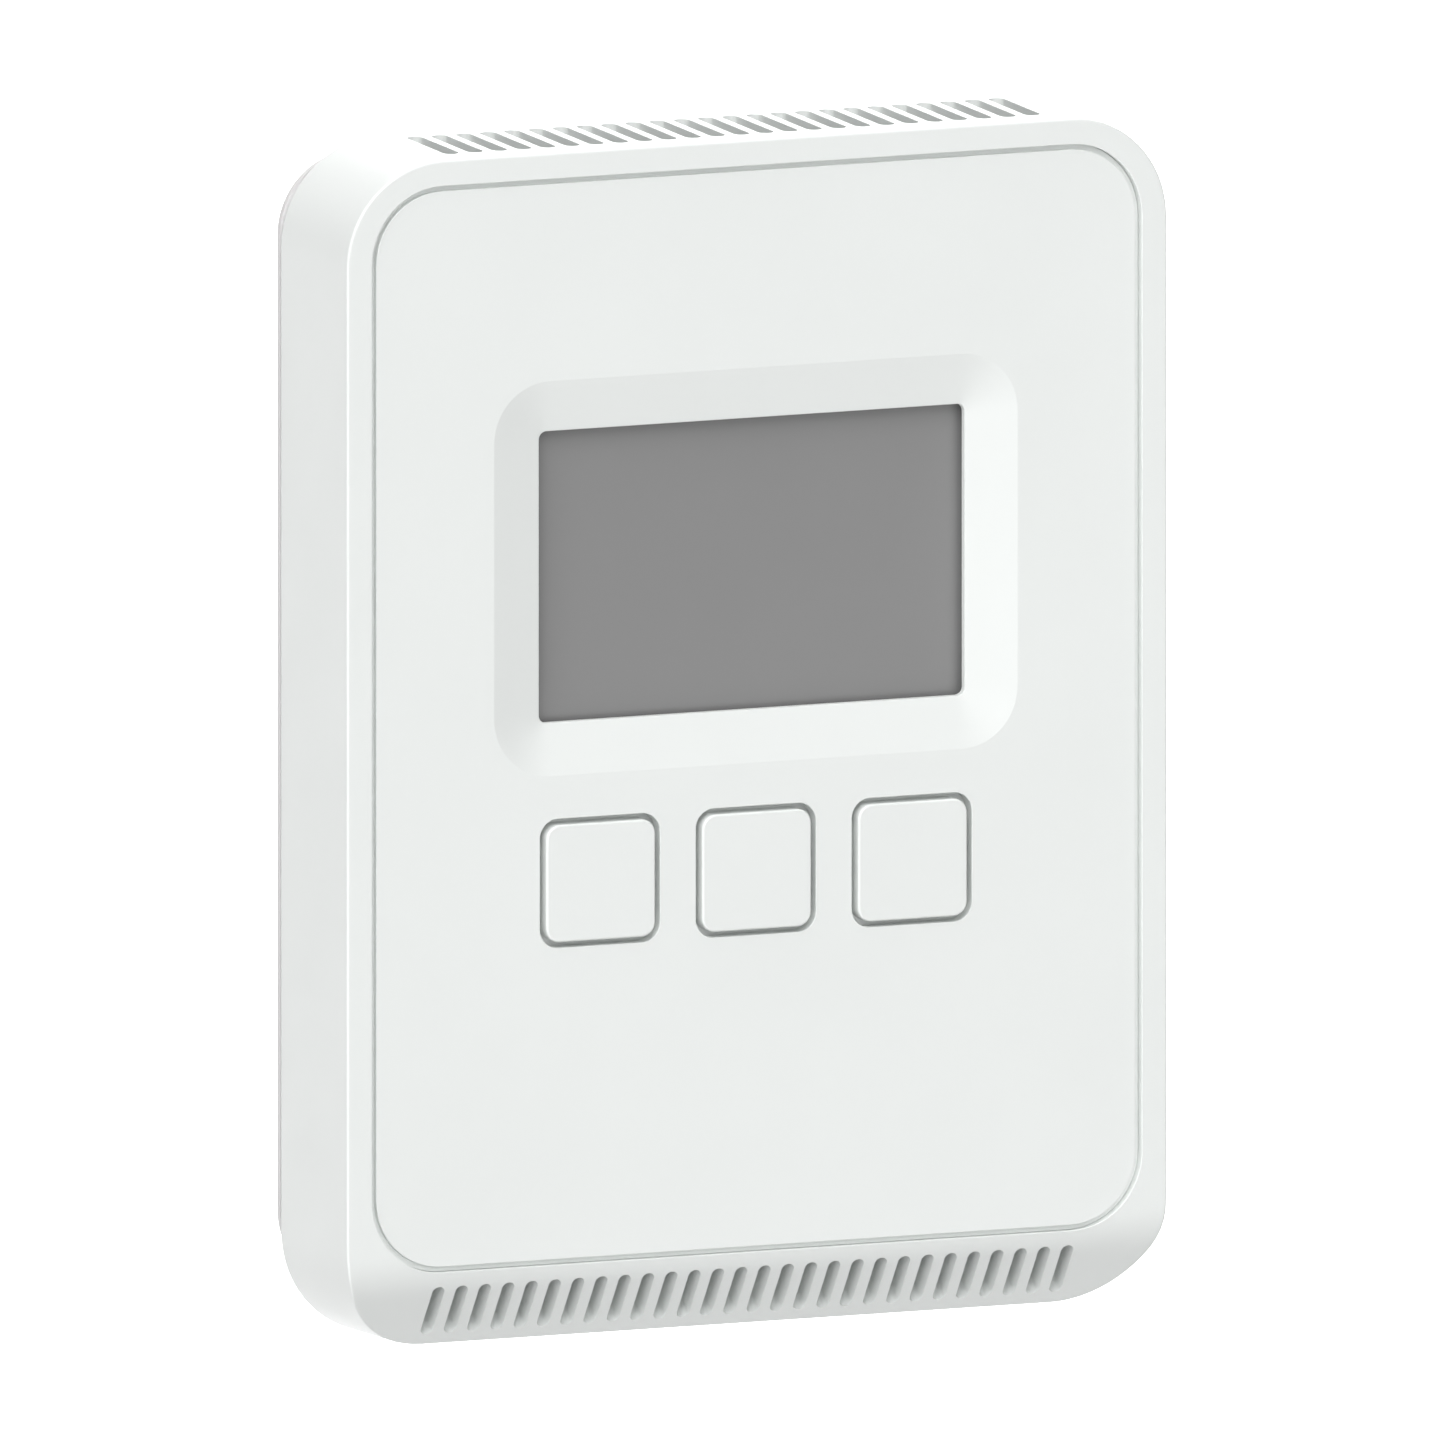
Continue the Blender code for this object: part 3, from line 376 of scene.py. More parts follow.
class Look:
    """Node material in the frame's own coordinates, so grain has a real size."""

    def __init__(self, name, color, roughness, metallic=0.0):
        self.made = bpy.data.materials.new(name)
        self.made.use_nodes = True
        self.tree = self.made.node_tree
        self.shader = self.tree.nodes["Principled BSDF"]
        self.shader.inputs["Base Color"].default_value = (*color, 1.0)
        self.shader.inputs["Roughness"].default_value = roughness
        self.shader.inputs["Metallic"].default_value = metallic
        self.place = self.node("ShaderNodeTexCoord").outputs["Object"]

    def node(self, kind, **settings):
        made = self.tree.nodes.new(kind)
        for key, value in settings.items():
            setattr(made, key, value)
        return made

    def join(self, source, target):
        self.tree.links.new(source, target)

    def noise(self, size, detail=2.0, rough=0.5, stretch=None):
        """Noise whose features are about size millimetres."""
        made = self.node("ShaderNodeTexNoise")
        made.inputs["Scale"].default_value = 1 / (size * MM)
        made.inputs["Detail"].default_value = detail
        made.inputs["Roughness"].default_value = rough
        place = self.place
        if stretch:
            mapping = self.node("ShaderNodeMapping")
            mapping.inputs["Scale"].default_value = stretch
            self.join(place, mapping.inputs["Vector"])
            place = mapping.outputs["Vector"]
        self.join(place, made.inputs["Vector"])
        return made.outputs["Fac"]

    def span(self, value, low, high, start=0.25, end=0.75):
        made = self.node("ShaderNodeMapRange")
        for key, number in (("From Min", start), ("From Max", end), ("To Min", low), ("To Max", high)):
            made.inputs[key].default_value = number
        self.join(value, made.inputs["Value"])
        return made.outputs["Result"]

    def mixed(self, factor, first, second):
        """Colour between two, each a tuple or a socket."""
        made = self.node("ShaderNodeMix", data_type="RGBA")
        self.join(factor, made.inputs["Factor"])
        for spot, value in (("A", first), ("B", second)):
            target = [s for s in made.inputs if s.name == spot and s.type == "RGBA"][0]
            if isinstance(value, tuple):
                target.default_value = (*value, 1.0)
            else:
                self.join(value, target)
        return [s for s in made.outputs if s.type == "RGBA"][0]

    def paint(self, source):
        self.join(source, self.shader.inputs["Base Color"])

    def rough(self, source):
        self.join(source, self.shader.inputs["Roughness"])

    def bump(self, height, depth):
        """Bump of the given depth in millimetres."""
        made = self.node("ShaderNodeBump")
        made.inputs["Strength"].default_value = 1.0
        made.inputs["Distance"].default_value = depth * MM
        self.join(height, made.inputs["Height"])
        self.join(made.outputs["Normal"], self.shader.inputs["Normal"])


def moulded(name, color, roughness, grain=0.18, depth=0.006, change=0.012):
    """Moulded plastic: eroded tool texture, faint flow clouds and a roughness that wanders."""
    look = Look(name, color, roughness)
    clouds = look.noise(22, 3)
    darker = tuple(channel * (1 - change) for channel in color)
    lighter = tuple(min(1.0, channel * (1 + change)) for channel in color)
    look.paint(look.mixed(look.span(clouds, 0, 1), darker, lighter))
    look.rough(look.span(look.noise(6, 2), roughness - 0.04, roughness + 0.04))
    look.bump(look.noise(grain, 3, 0.6), depth)
    return look.made


def metal(name, color, roughness, streaks=(1, 1, 1), depth=0.004):
    look = Look(name, color, roughness, 1.0)
    wear = look.noise(1.6, 4)
    darker = tuple(channel * 0.82 for channel in color)
    look.paint(look.mixed(look.span(wear, 0, 1), darker, color))
    lines = look.noise(0.12, 2, stretch=streaks)
    look.rough(look.span(lines, roughness - 0.08, roughness + 0.1))
    look.bump(lines, depth)
    return look.made


def board_look(name):
    """Green solder mask over copper tracks, which run across in some regions and upright in others."""
    look = Look(name, (0.02, 0.16, 0.07), 0.32)
    runs = []
    for turn, width in ((0, 17.0), (90, 23.0)):
        tracks = look.node("ShaderNodeTexBrick", offset=0.31)
        for key, number in (("Scale", 1 / (1.4 * MM)), ("Mortar Size", 0.1), ("Mortar Smooth", 0.1),
                            ("Brick Width", width), ("Row Height", 0.55)):
            tracks.inputs[key].default_value = number
        mapping = look.node("ShaderNodeMapping")
        mapping.inputs["Rotation"].default_value = (math.radians(90), 0, math.radians(turn))
        look.join(look.place, mapping.inputs["Vector"])
        look.join(mapping.outputs["Vector"], tracks.inputs["Vector"])
        runs.append(tracks.outputs["Fac"])
    which = look.node("ShaderNodeMix", data_type="FLOAT")
    look.join(look.span(look.noise(11, 1), 0, 1, 0.49, 0.51), which.inputs[0])
    look.join(runs[0], which.inputs[2])
    look.join(runs[1], which.inputs[3])
    lines = look.node("ShaderNodeMath", operation="MULTIPLY")
    look.join(which.outputs[0], lines.inputs[0])
    look.join(look.span(look.noise(7, 1), 0, 1, 0.45, 0.47), lines.inputs[1])
    mask = look.mixed(look.span(look.noise(14, 3), 0, 1), (0.012, 0.13, 0.05), (0.018, 0.155, 0.065))
    look.paint(look.mixed(lines.outputs["Value"], mask, (0.035, 0.22, 0.09)))
    look.rough(look.span(look.noise(0.5, 2), 0.26, 0.4))
    look.bump(lines.outputs["Value"], 0.03)
    return look.made


WHITE = moulded("white_plastic", (0.80, 0.823, 0.809), 0.38)
PLATE = moulded("plate_plastic", (0.70, 0.69, 0.692), 0.5, grain=0.25, depth=0.01)
HOLDER = moulded("holder_plastic", (0.72, 0.72, 0.69), 0.5, grain=0.25, depth=0.01)
LENS = moulded("smoked_lens", (0.205, 0.205, 0.205), 0.32, grain=0.12, depth=0.002, change=0.02)
BLACK = moulded("black_plastic", (0.02, 0.02, 0.022), 0.45, grain=0.12, depth=0.01, change=0.2)
TERMINAL = moulded("terminal_plastic", (0.03, 0.26, 0.09), 0.4, grain=0.3, depth=0.012, change=0.06)
RELAY = moulded("relay_plastic", (0.02, 0.07, 0.26), 0.3, grain=0.4, depth=0.006, change=0.08)
RUBBER = moulded("contact_rubber", (0.05, 0.05, 0.055), 0.7, grain=0.2, depth=0.01, change=0.15)
GUIDE = moulded("light_guide", (0.85, 0.88, 0.9), 0.35, grain=0.5, depth=0.008)
GLASS = moulded("display_glass", (0.2, 0.24, 0.2), 0.08, grain=2.0, depth=0.001, change=0.05)
STEEL = metal("screw_steel", (0.62, 0.62, 0.63), 0.28)
TINNED = metal("switch_steel", (0.55, 0.55, 0.56), 0.35, streaks=(1, 1, 12))
CAN = metal("capacitor_can", (0.66, 0.67, 0.69), 0.3, streaks=(1, 12, 1))
BRASS = metal("clamp_brass", (0.72, 0.6, 0.36), 0.32, streaks=(1, 10, 1))
BOARD = board_look("circuit_board")


# ---------------------------------------------------------------- body shape

def body_section(y, inset=0.0):
    grow = (y - FRONT_Y) * DRAFT - inset
    return (FRONT_WIDTH + 2 * grow, FRONT_HEIGHT + 2 * grow, FRONT_CORNER + grow)


def front_slope(z, inset=0.0):
    """Angle of the front surface at height z: 0 on the flat front, SLANT_ANGLE on the slant."""
    drop = SLANT_Z + SLANT_BLEND * math.tan(SLANT_ANGLE / 2) - z
    radius = SLANT_BLEND - inset
    return math.asin(min(max(drop / radius, 0.0), math.sin(SLANT_ANGLE)))


def front_y(z, inset=0.0):
    """Depth of the front surface at height z, moved inward by inset."""
    drop = SLANT_Z + SLANT_BLEND * math.tan(SLANT_ANGLE / 2) - z
    radius = SLANT_BLEND - inset
    slope = front_slope(z, inset)
    beyond = max(drop - radius * math.sin(slope), 0.0) if drop > 0 else 0.0
    return FRONT_Y + inset + radius * (1 - math.cos(slope)) + beyond * math.tan(SLANT_ANGLE)


def edge_ring(inset, floor_y=None):
    """Where the walls, moved inward by inset, meet the front surface moved inward by as much."""
    points = []
    for index in range(4 * (CORNER_STEPS + 1)):
        y = FRONT_Y + inset
        for _ in range(4):
            x, z = outline(body_section(y, inset))[index]
            y = front_y(z, inset)
            if floor_y is not None:
                y = max(y, floor_y)
        points.append((x, y, z))
    return points


def wall_normals():
    normals = []
    for corner in range(4):
        for step in range(CORNER_STEPS + 1):
            angle = math.radians(90) * (corner + step / CORNER_STEPS)
            normals.append(Vector((math.cos(angle), 0, math.sin(angle))))
    return normals


def between(outer, inner, share):
    """(x, z) points that lie a share of the way from one ring to another."""
    return [(x0 + (x1 - x0) * share, z0 + (z1 - z0) * share)
            for (x0, _, z0), (x1, _, z1) in zip(outer, inner)]


def cover_rings():
    rings = [ring(body_section(RIM_Y, RIM_BREAK), RIM_Y),
             ring(body_section(RIM_Y - RIM_BREAK), RIM_Y - RIM_BREAK)]
    centers = edge_ring(EDGE_ROUND)
    for step in range(EDGE_STEPS + 1):
        points = []
        for center, side in zip(centers, wall_normals()):
            slope = front_slope(center[2], EDGE_ROUND)
            front = Vector((0, -math.cos(slope), -math.sin(slope)))
            points.append(tuple(Vector(center) + side.slerp(front, step / EDGE_STEPS) * EDGE_ROUND))
        rings.append(points)
    outer = rings[-1]
    seat = ring(PANEL_SIZE, 0, SEAM + SEAT_BREAK, PANEL_Z)
    for strip in range(1, FRONT_STRIPS + 1):
        rings.append([(x, front_y(z), z) for x, z in between(outer, seat, strip / FRONT_STRIPS)])
    rings.append([(x, front_y(z) + SEAT_BREAK, z) for x, _, z in ring(PANEL_SIZE, 0, SEAM, PANEL_Z)])
    rings.append(ring(PANEL_SIZE, SHELF_Y, SEAM, PANEL_Z))
    rings.append(ring(FRONT_OPENING, SHELF_Y, 0, PANEL_Z))
    opening = ring(FRONT_OPENING, CAVITY_Y, 0, PANEL_Z)
    rings.append(opening)
    inner = edge_ring(WALL, CAVITY_Y)
    for strip in range(1, CAVITY_STRIPS + 1):
        rings.append([(x, max(front_y(z, WALL), CAVITY_Y), z)
                      for x, z in between(opening, inner, strip / CAVITY_STRIPS)])
    rings.append(ring(body_section(RIM_Y, WALL), RIM_Y))
    return rings


def slots(count, pitch, width, low, high, along, into, reach):
    """Round-ended slot cutters side by side along X, from outside the surface to reach inside it."""
    bm = bmesh.new()
    along = Vector((0, *along))
    into = Vector((0, *into))
    start = Vector((0, *low)) + along * width / 2
    end = Vector((0, *high)) - along * width / 2
    for index in range(count):
        offset = Vector(((index - (count - 1) / 2) * pitch, 0, 0))
        rings = []
        for depth in (SLOT_START, reach):
            points = []
            for center, turn in ((start, math.pi), (end, 0.0)):
                for step in range(SLOT_STEPS + 1):
                    angle = turn + math.pi * step / SLOT_STEPS
                    across = Vector((math.cos(angle), 0, 0)) + along * math.sin(angle)
                    points.append(offset + center + across * (width / 2) + into * depth)
            rings.append(points)
        add_rings(bm, rings)
    return finished(bm)


def slant_point(distance):
    return (FRONT_Y + distance * math.sin(SLANT_ANGLE), SLANT_Z - distance * math.cos(SLANT_ANGLE))


def fin_bar():
    """Bar along the slant that its slots are cut through."""
    ends = []
    for x in (-FIN_HALF_WIDTH, FIN_HALF_WIDTH):
        end = []
        for distance, depth in ((FIN_SPAN[0], FIN_SKIN), (FIN_SPAN[1], FIN_SKIN), (FIN_SPAN[1], FIN_DEPTH),
                                (FIN_SPAN[0], FIN_DEPTH)):
            y, z = slant_point(distance)
            end.append((x, y + depth * math.cos(SLANT_ANGLE), z + depth * math.sin(SLANT_ANGLE)))
        ends.append(end)
    return ring_mesh(ends)


def lock_drum(radius, low, high):
    """Upright cylinder on the lock screw's axis."""
    return drums((radius, (0, LOCK_Y, low), (0, LOCK_Y, high)))


def cover_shell():
    near, far = TOP_SLOT_DEPTHS
    top = FRONT_HEIGHT / 2 + ((near + far) / 2) * DRAFT
    top_vents = slots(TOP_SLOTS, TOP_SLOT_PITCH, TOP_SLOT_WIDTH, (FRONT_Y + near, top), (FRONT_Y + far, top),
                      (1, 0), (0, -1), TOP_SLOT_REACH)
    sine, cosine = math.sin(SLANT_ANGLE), math.cos(SLANT_ANGLE)
    low_vents = slots(LOW_SLOTS, LOW_SLOT_PITCH, LOW_SLOT_WIDTH, slant_point(LOW_SLOT_SPAN[0]),
                      slant_point(LOW_SLOT_SPAN[1]), (sine, -cosine), (cosine, sine), LOW_SLOT_REACH)
    notches = [((side * TONGUE_X - TONGUE_WIDTH / 2 - GAP, NOTCH_Y[0], HALF_RIM_HEIGHT - NOTCH_DEPTHS[0]),
                (side * TONGUE_X + TONGUE_WIDTH / 2 + GAP, NOTCH_Y[1], HALF_RIM_HEIGHT - NOTCH_DEPTHS[1]))
               for side in (-1, 1)]
    bosses = drums(*[(BOSS_RADIUS, (x, CAVITY_Y - BOSS_ROOT, z), (x, MAIN_BOARD_FRONT_Y - GAP, z))
                     for x, z in MAIN_SCREW_SPOTS])
    pilots = drums(*[(PILOT_RADIUS, (x, CAVITY_Y - PILOT_END, z), (x, MAIN_BOARD_FRONT_Y + 1, z))
                     for x, z in MAIN_SCREW_SPOTS])
    mesh = carve(ring_mesh(cover_rings(), loop=True), ("UNION", fin_bar()),
                 ("DIFFERENCE", top_vents), ("DIFFERENCE", low_vents), ("DIFFERENCE", blocks(*notches)),
                 ("UNION", bosses), ("DIFFERENCE", pilots), ("UNION", lock_drum(*LOCK_BOSS)),
                 ("DIFFERENCE", lock_drum(*LOCK_HEAD_BORE)), ("DIFFERENCE", lock_drum(*LOCK_SHANK_BORE)))
    piece("cover_shell", mesh, WHITE, "cover", ["front_cover"])


def panel():
    foot = SEAM - FOOT_GAP
    step_y = PANEL_Y + SEAM_DEPTH
    window_y = PANEL_Y + RECESS_DEPTH
    lip_y = window_y + WINDOW_LIP
    edge = [(PANEL_Y + depth, grow) for depth, grow in PANEL_EDGE]
    rings = rings_at(PANEL_SIZE, PANEL_Z, [(PANEL_BACK_Y, foot), (step_y, foot), (step_y, 0), *edge])
    rings.append(ring(RECESS_SIZE, PANEL_Y, 0, DISPLAY_Z))
    edge = [(window_y + depth, grow) for depth, grow in WINDOW_EDGE]
    rings += rings_at(WINDOW_SIZE, DISPLAY_Z,
                      [*edge, (lip_y, 0), (lip_y, UNDERCUT), (DISPLAY_FRAME_Y, UNDERCUT)])
    rings += rings_at(DISPLAY_FRAME, DISPLAY_Z, [(DISPLAY_FRAME_Y, 0), (PANEL_BACK_Y, 0)])
    edge = [(PANEL_Y + depth, grow) for depth, grow in BUTTON_HOLE_EDGE]
    holes = []
    for number in (1, 2, 3):
        hole = ring_mesh(rings_at(BUTTON_HOLE, BUTTON_Z, [(PANEL_BACK_Y + 1, 0), *edge]))
        holes.append(("DIFFERENCE", shifted(hole, x=(number - 2) * BUTTON_PITCH)))
    piece("panel_fascia", carve(ring_mesh(rings, loop=True), *holes), WHITE, "cover",
          ["face_panel"], smooth=8)


def rounded_rings(size, y, radius, z, steps, arc=5):
    """Rings of a fillet that ends a prism facing the room at depth y."""
    rings = []
    for step in range(arc + 1):
        angle = math.radians(90) * step / arc
        rings.append(ring(size, y + radius * (1 - math.sin(angle)), -radius * (1 - math.cos(angle)), z,
                          steps))
    return rings


def buttons():
    back, front = BUTTON_FLANGE_Y
    radius, stem_end = BUTTON_STEM
    for number in (1, 2, 3):
        rings = rings_at(BUTTON_FLANGE, BUTTON_Z, [(back, 0), (front, 0)], 10)
        rings.append(ring(BUTTON_SIZE, front, 0, BUTTON_Z, 10))
        rings += rounded_rings(BUTTON_SIZE, FRONT_Y, BUTTON_ROUND, BUTTON_Z, 10)
        stem = drums((radius, (0, back - 0.4, BUTTON_Z), (0, stem_end, BUTTON_Z)))
        mesh = shifted(carve(ring_mesh(rings), ("UNION", stem)), x=(number - 2) * BUTTON_PITCH)
        piece(f"button_{number}", mesh, WHITE, f"button_{number}", [f"button_cap_{number}"])


def display_lens():
    rings = [ring(LENS_SIZE, LENS_Y[0], 0, DISPLAY_Z, 6)]
    rings += rounded_rings(LENS_SIZE, LENS_Y[1], LENS_ROUND, DISPLAY_Z, 6, 3)
    piece("lens", ring_mesh(rings), LENS, "cover", ["display_lens"])


def tile(size, low, high, x=0.0, z=0.0, steps=6):
    """Prism with a rounded-rectangle outline between two depths."""
    return shifted(ring_mesh([ring(size, low, 0, 0, steps), ring(size, high, 0, 0, steps)]), x, 0, z)


def wall_plate():
    rise = PLATE_ROUND
    rings = rings_at(PLATE_SIZE, PLATE_Z,
                     [(0, -rise), (-rise * 0.3, -rise * 0.3), (-rise, 0), (PLATE_FLANGE_Y, 0)])
    rings += rings_at(PLATFORM_SIZE, PLATE_Z,
                      [(PLATE_FLANGE_Y, 0), (PLATE_FRONT_Y + rise, 0), (PLATE_FRONT_Y, -rise)])
    top = PLATE_Z + PLATE_SIZE[1] / 2 - 0.1
    tongues = blocks(*[((side * TONGUE_X - TONGUE_WIDTH / 2, TONGUE_FRONT_Y, top - TONGUE_THICKNESS),
                        (side * TONGUE_X + TONGUE_WIDTH / 2, PLATE_FLANGE_Y + TONGUE_ROOT, top))
                       for side in (-1, 1)])
    cuts = [tile(WIRE_OPENING, *CUT_Y, 0, WIRE_OPENING_Z, 8)]
    seat = [side + 2 * SLOT_SEAT for side in WALL_SLOT]
    for x, z in WALL_SCREW_SLOTS:
        cuts.append(tile(WALL_SLOT, *CUT_Y, x, z, 8))
        cuts.append(tile((seat[0], seat[1], seat[1] / 2 - 0.01), PLATE_FRONT_Y + 0.5, CUT_Y[1], x, z, 10))
    for x, z, width, height in RELIEFS:
        cuts.append(tile((width, height, 1.5), CUT_Y[0], -RELIEF_DEPTH, x, z))
    for x, z in BASE_SCREW_SPOTS:
        cuts.append(drums((PILOT_RADIUS, (x, -0.6, z), (x, -3, z))))
    cuts.append(lock_drum(*LOCK_PILOT))
    skirt = ring_mesh(rings_at(SKIRT_SIZE, 0, [(SKIRT_Y[0], 0), (SKIRT_Y[1] + 0.1, 0), (SKIRT_Y[1], -0.1)]))
    mesh = carve(ring_mesh(rings), ("UNION", skirt), ("UNION", tongues),
                 ("UNION", blocks((LUG_LOW, LUG_HIGH))), ("UNION", blocks(*GUSSETS)),
                 *[("DIFFERENCE", cut) for cut in cuts])
    piece("wall_plate", mesh, PLATE, "base", ["back_plate"], smooth=30)


def pan_head_screws(name, spots, seat_y, away, length, body, nodes):
    """Rounded heads with a cross recess; away is -1 for heads towards the room and 1 for the wall."""
    bm = bmesh.new()
    slits = [bmesh.new(), bmesh.new()]
    profile = [(SHANK_RADIUS * 0.5, -length), (SHANK_RADIUS, -length + 0.5), (SHANK_RADIUS, 0)]
    profile += [(HEAD_RADIUS * share, along) for share, along in HEAD_PROFILE]
    angles = [math.radians(360 / SCREW_SIDES * turn) for turn in range(SCREW_SIDES)]
    for x, z in spots:
        add_rings(bm, [[(x + radius * math.cos(angle), seat_y + away * along, z + radius * math.sin(angle))
                        for angle in angles] for radius, along in profile])
        ends = sorted(seat_y + away * depth for depth in CROSS_DEPTHS)
        for slit, (wide, tall) in zip(slits, CROSS_ARMS):
            add_block(slit, (x - wide, ends[0], z - tall), (x + wide, ends[1], z + tall))
    mesh = carve(finished(bm), *[("DIFFERENCE", finished(slit)) for slit in slits])
    piece(name, mesh, STEEL, body, nodes, smooth=30)


def board_screws():
    pan_head_screws("terminal_board_fixings", BASE_SCREW_SPOTS, BASE_BOARD_FRONT_Y - GAP, -1, 3.2, "base",
                    ["terminal_board_screw_1", "terminal_board_screw_2"])
    pan_head_screws("main_board_fixings", MAIN_SCREW_SPOTS, MAIN_BOARD_Y[0] + GAP, 1, 4.5, "cover",
                    [f"main_board_screw_{number}" for number in (1, 2, 3, 4)])


def chip_parts(name, spots, face_y, away, body, look):
    """Small surface-mounted parts with soldered end caps, standing on a board's face."""
    bodies = bmesh.new()
    ends = bmesh.new()
    for x, z, width, height, thick in spots:
        low, high = sorted((face_y, face_y + away * thick))
        cap = CAP_SHARE * max(width, height)
        if width >= height:
            add_block(bodies, (x - width / 2 + cap, low, z - height / 2),
                      (x + width / 2 - cap, high, z + height / 2))
            for side in (-1, 1):
                middle = x + side * (width - cap) / 2
                add_block(ends, (middle - cap / 2, low, z - height / 2 - CAP_PROUD),
                          (middle + cap / 2, high, z + height / 2 + CAP_PROUD))
        else:
            add_block(bodies, (x - width / 2, low, z - height / 2 + cap),
                      (x + width / 2, high, z + height / 2 - cap))
            for side in (-1, 1):
                middle = z + side * (height - cap) / 2
                add_block(ends, (x - width / 2 - CAP_PROUD, low, middle - cap / 2),
                          (x + width / 2 + CAP_PROUD, high, middle + cap / 2))
    piece(f"{name}_bodies", finished(bodies), look, body, bevel=0.06)
    piece(f"{name}_ends", finished(ends), TINNED, body, bevel=0.06)


def terminal_board_parts():
    """Resistors and diodes above the terminals."""
    front = BASE_BOARD_FRONT_Y - STAND_OFF
    chip_parts("terminal_board_chips", TERMINAL_BOARD_CHIPS, front, -1, "base", BLACK)


def solder_joints():
    """Soldered pins on the main board's rear face, under the push switches and the display."""
    bm = bmesh.new()
    rear = MAIN_BOARD_Y[0]

    def joint(x, z, radius, foot, end, tip, sides):
        add_drum(bm, radius, (x, rear + foot, z), (x, rear + end, z), sides, tip)

    for number in (1, 2, 3):
        for side_x in (-1, 1):
            for side_z in (-1, 1):
                x = (number - 2) * BUTTON_PITCH + side_x * SWITCH_PINS[0]
                for shape in SWITCH_JOINT:
                    joint(x, BUTTON_Z + side_z * SWITCH_PINS[1], *shape)
    for index in range(STRIP_JOINTS):
        joint((index - (STRIP_JOINTS - 1) / 2) * STRIP_PITCH, STRIP_Z, *STRIP_JOINT)
    piece("switch_solder", finished(bm), TINNED, "cover")


def chip_legs():
    """Gull-wing legs on all four sides of the controller."""
    bm = bmesh.new()
    rear = MAIN_BOARD_Y[0] + STAND_OFF
    x, z = CONTROLLER_SPOT
    for index in range(LEGS):
        offset = (index - (LEGS - 1) / 2) * LEG_PITCH
        for side in (-1, 1):
            for inner, outer, low, high in LEG_PARTS:
                near, far = sorted((side * (CONTROLLER_HALF + inner), side * (CONTROLLER_HALF + outer)))
                add_block(bm, (x + offset - LEG_HALF, rear + low, z + near),
                          (x + offset + LEG_HALF, rear + high, z + far))
                add_block(bm, (x + near, rear + low, z + offset - LEG_HALF),
                          (x + far, rear + high, z + offset + LEG_HALF))
    piece("controller_legs", finished(bm), TINNED, "cover")


def main_board_parts():
    """Capacitors and resistors round the controller, and a clock crystal."""
    rear = MAIN_BOARD_Y[0] + STAND_OFF
    chip_parts("main_board_chips", MAIN_BOARD_CHIPS, rear, 1, "cover", BLACK)
    can = ring_mesh(rings_at(CRYSTAL_SIZE, 0, [(rear + y, grow) for y, grow in CRYSTAL_PROFILE], 8))
    mesh = shifted(can, CRYSTAL_SPOT[0], 0, CRYSTAL_SPOT[1])
    piece("clock_crystal", mesh, CAN, "cover", smooth=30)


def relay_cases():
    """Relay cases with a moulded base line, rounded edges, a vent dimple and a shallow plain field."""
    size = (RELAY_SIZE, RELAY_SIZE, RELAY_CORNER)
    base = BASE_BOARD_FRONT_Y - GAP
    radius, spot, depth = RELAY_DIMPLE
    field_x, field_z = RELAY_FIELD_SPOT
    for number, side in ((1, -1), (2, 1)):
        rings = rings_at(size, TERMINAL_Z, [(base + y, grow) for y, grow in RELAY_FOOT], 6)
        rings += rounded_rings(size, RELAY_FRONT_Y, RELAY_ROUND, TERMINAL_Z, 6)
        dimple = drums((radius, (spot, RELAY_FRONT_Y + depth, TERMINAL_Z + spot),
                        (spot, RELAY_FRONT_Y - 1, TERMINAL_Z + spot)))
        field = tile(RELAY_FIELD, RELAY_FRONT_Y + RELAY_FIELD_DEPTH, RELAY_FRONT_Y - 1, field_x,
                     TERMINAL_Z + field_z)
        mesh = carve(ring_mesh(rings), ("DIFFERENCE", dimple), ("DIFFERENCE", field))
        piece(f"relay_case_{number}", shifted(mesh, x=side * RELAY_X), RELAY, "base",
              [f"relay_{number}"])


CARRIED = {
    "plate_plastic": PLATE, "holder_plastic": HOLDER, "display_glass": GLASS, "light_guide": GUIDE,
    "contact_rubber": RUBBER, "circuit_board": BOARD, "black_plastic": BLACK, "terminal_plastic": TERMINAL,
    "relay_plastic": RELAY, "capacitor_can": CAN, "screw_steel": STEEL, "switch_steel": TINNED,
    "clamp_brass": BRASS, "white_plastic": WHITE, "smoked_lens": LENS,
}


def carry_over():
    """Gives every CAD node its slot's material."""
    for part in frame["record"]["subparts"]:
        node = frame["nodes"][part["node"]]
        node.data.materials.clear()
        node.data.materials.append(CARRIED[part["material_slot"]])


# ---------------------------------------------------------------- studio

VIEW_TURN = math.radians(23.374)
VIEW_RISE = math.radians(8.865)
VIEW_WIDTH = 142.393
VIEW_SHIFT = (3.246, -1.176)
VIEW_DISTANCE = 0.7            # metres


def camera():
    right = Vector((math.cos(VIEW_TURN), -math.sin(VIEW_TURN), 0))
    back = Vector((-math.sin(VIEW_TURN) * math.cos(VIEW_RISE), -math.cos(VIEW_TURN) * math.cos(VIEW_RISE),
                   math.sin(VIEW_RISE)))
    up = back.cross(right)
    lens = bpy.data.cameras.new("camera")
    lens.type = "ORTHO"
    lens.ortho_scale = VIEW_WIDTH * MM
    lens.clip_start = 0.01
    lens.clip_end = 20
    made = bpy.data.objects.new("camera", lens)
    bpy.context.scene.collection.objects.link(made)
    place = (right * VIEW_SHIFT[0] + up * VIEW_SHIFT[1]) * MM + back * VIEW_DISTANCE
    made.matrix_world = Matrix.Translation(place) @ Matrix((right, up, back)).transposed().to_4x4()
    bpy.context.scene.camera = made


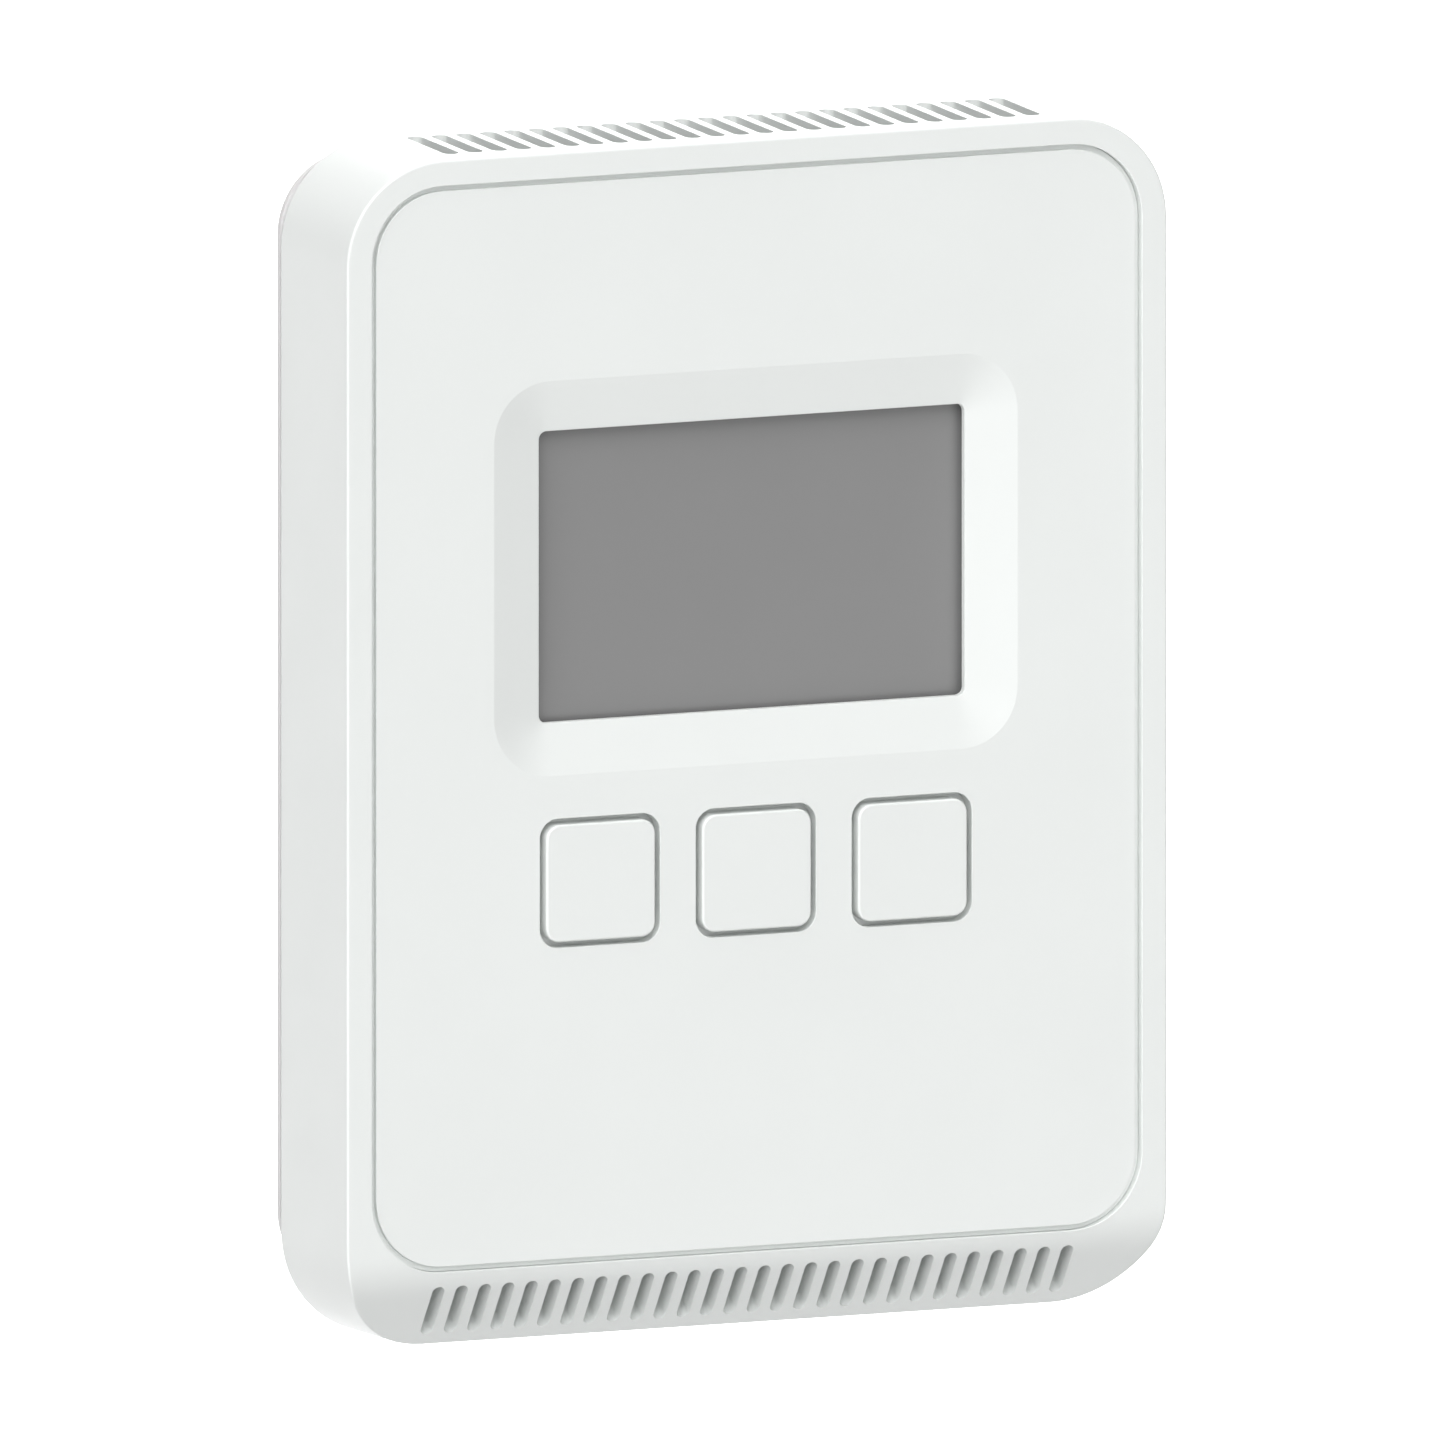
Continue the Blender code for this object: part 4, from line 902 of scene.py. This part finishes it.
def soft_light(name, direction, spread, strength):
    """Even light from a broad round patch of the surroundings, spread degrees across."""
    lamp = bpy.data.lights.new(name, "SUN")
    lamp.angle = math.radians(spread)
    lamp.energy = strength
    made = bpy.data.objects.new(name, lamp)
    bpy.context.scene.collection.objects.link(made)
    made.rotation_mode = "QUATERNION"
    made.rotation_quaternion = Vector(direction).to_track_quat("Z", "Y")


def world():
    """White surroundings that are seen and mirrored; the soft lights do the lighting."""
    made = bpy.data.worlds.new("studio")
    bpy.context.scene.world = made
    made.use_nodes = True
    made.node_tree.nodes["Background"].inputs["Color"].default_value = (1, 1, 1, 1)
    made.node_tree.nodes["Background"].inputs["Strength"].default_value = 1.02
    made.cycles_visibility.diffuse = False


def floor():
    bm = bmesh.new()
    bmesh.ops.create_grid(bm, x_segments=1, y_segments=1, size=6)
    made = bpy.data.objects.new("floor", finished(bm))
    bpy.context.scene.collection.objects.link(made)
    made.location = (0, 0, -0.5)
    look = bpy.data.materials.new("floor")
    look.use_nodes = True
    shader = look.node_tree.nodes["Principled BSDF"]
    shader.inputs["Base Color"].default_value = (0.9, 0.9, 0.9, 1)
    shader.inputs["Roughness"].default_value = 0.9
    shader.inputs["Emission Color"].default_value = (1, 1, 1, 1)
    shader.inputs["Emission Strength"].default_value = 1.0
    made.data.materials.append(look)
    made.visible_diffuse = False
    made.visible_shadow = False


# Direction towards the light, its width in degrees and its strength. The last three light what faces away.
LIGHTS = {
    "front": ((-0.26, -0.95, 0.15), 60, 1.22),
    "left": ((-0.5, -0.5, 0.7), 50, 1.47),
    "overhead": ((0, 0.1, 1), 50, 1.45),
    "upper_front": ((-0.1, -0.75, 0.65), 50, 0.79),
    "lower_left": ((-0.7, -0.3, -0.6), 60, 1.5),
    "right": ((1, 0.5, 0.1), 40, 1.7),
    "behind": ((0.4, 1, 0.1), 40, 1.0),
    "under": ((0.4, 0.8, -0.6), 40, 0.7),
}


def lights():
    for name, (direction, spread, strength) in LIGHTS.items():
        soft_light(name, direction, spread, strength)


carry_over()
cover_shell()
panel()
buttons()
display_lens()
wall_plate()
board_screws()
terminal_board_parts()
solder_joints()
chip_legs()
main_board_parts()
relay_cases()
camera()
world()
floor()
lights()
bpy.context.scene.view_settings.view_transform = "Standard"
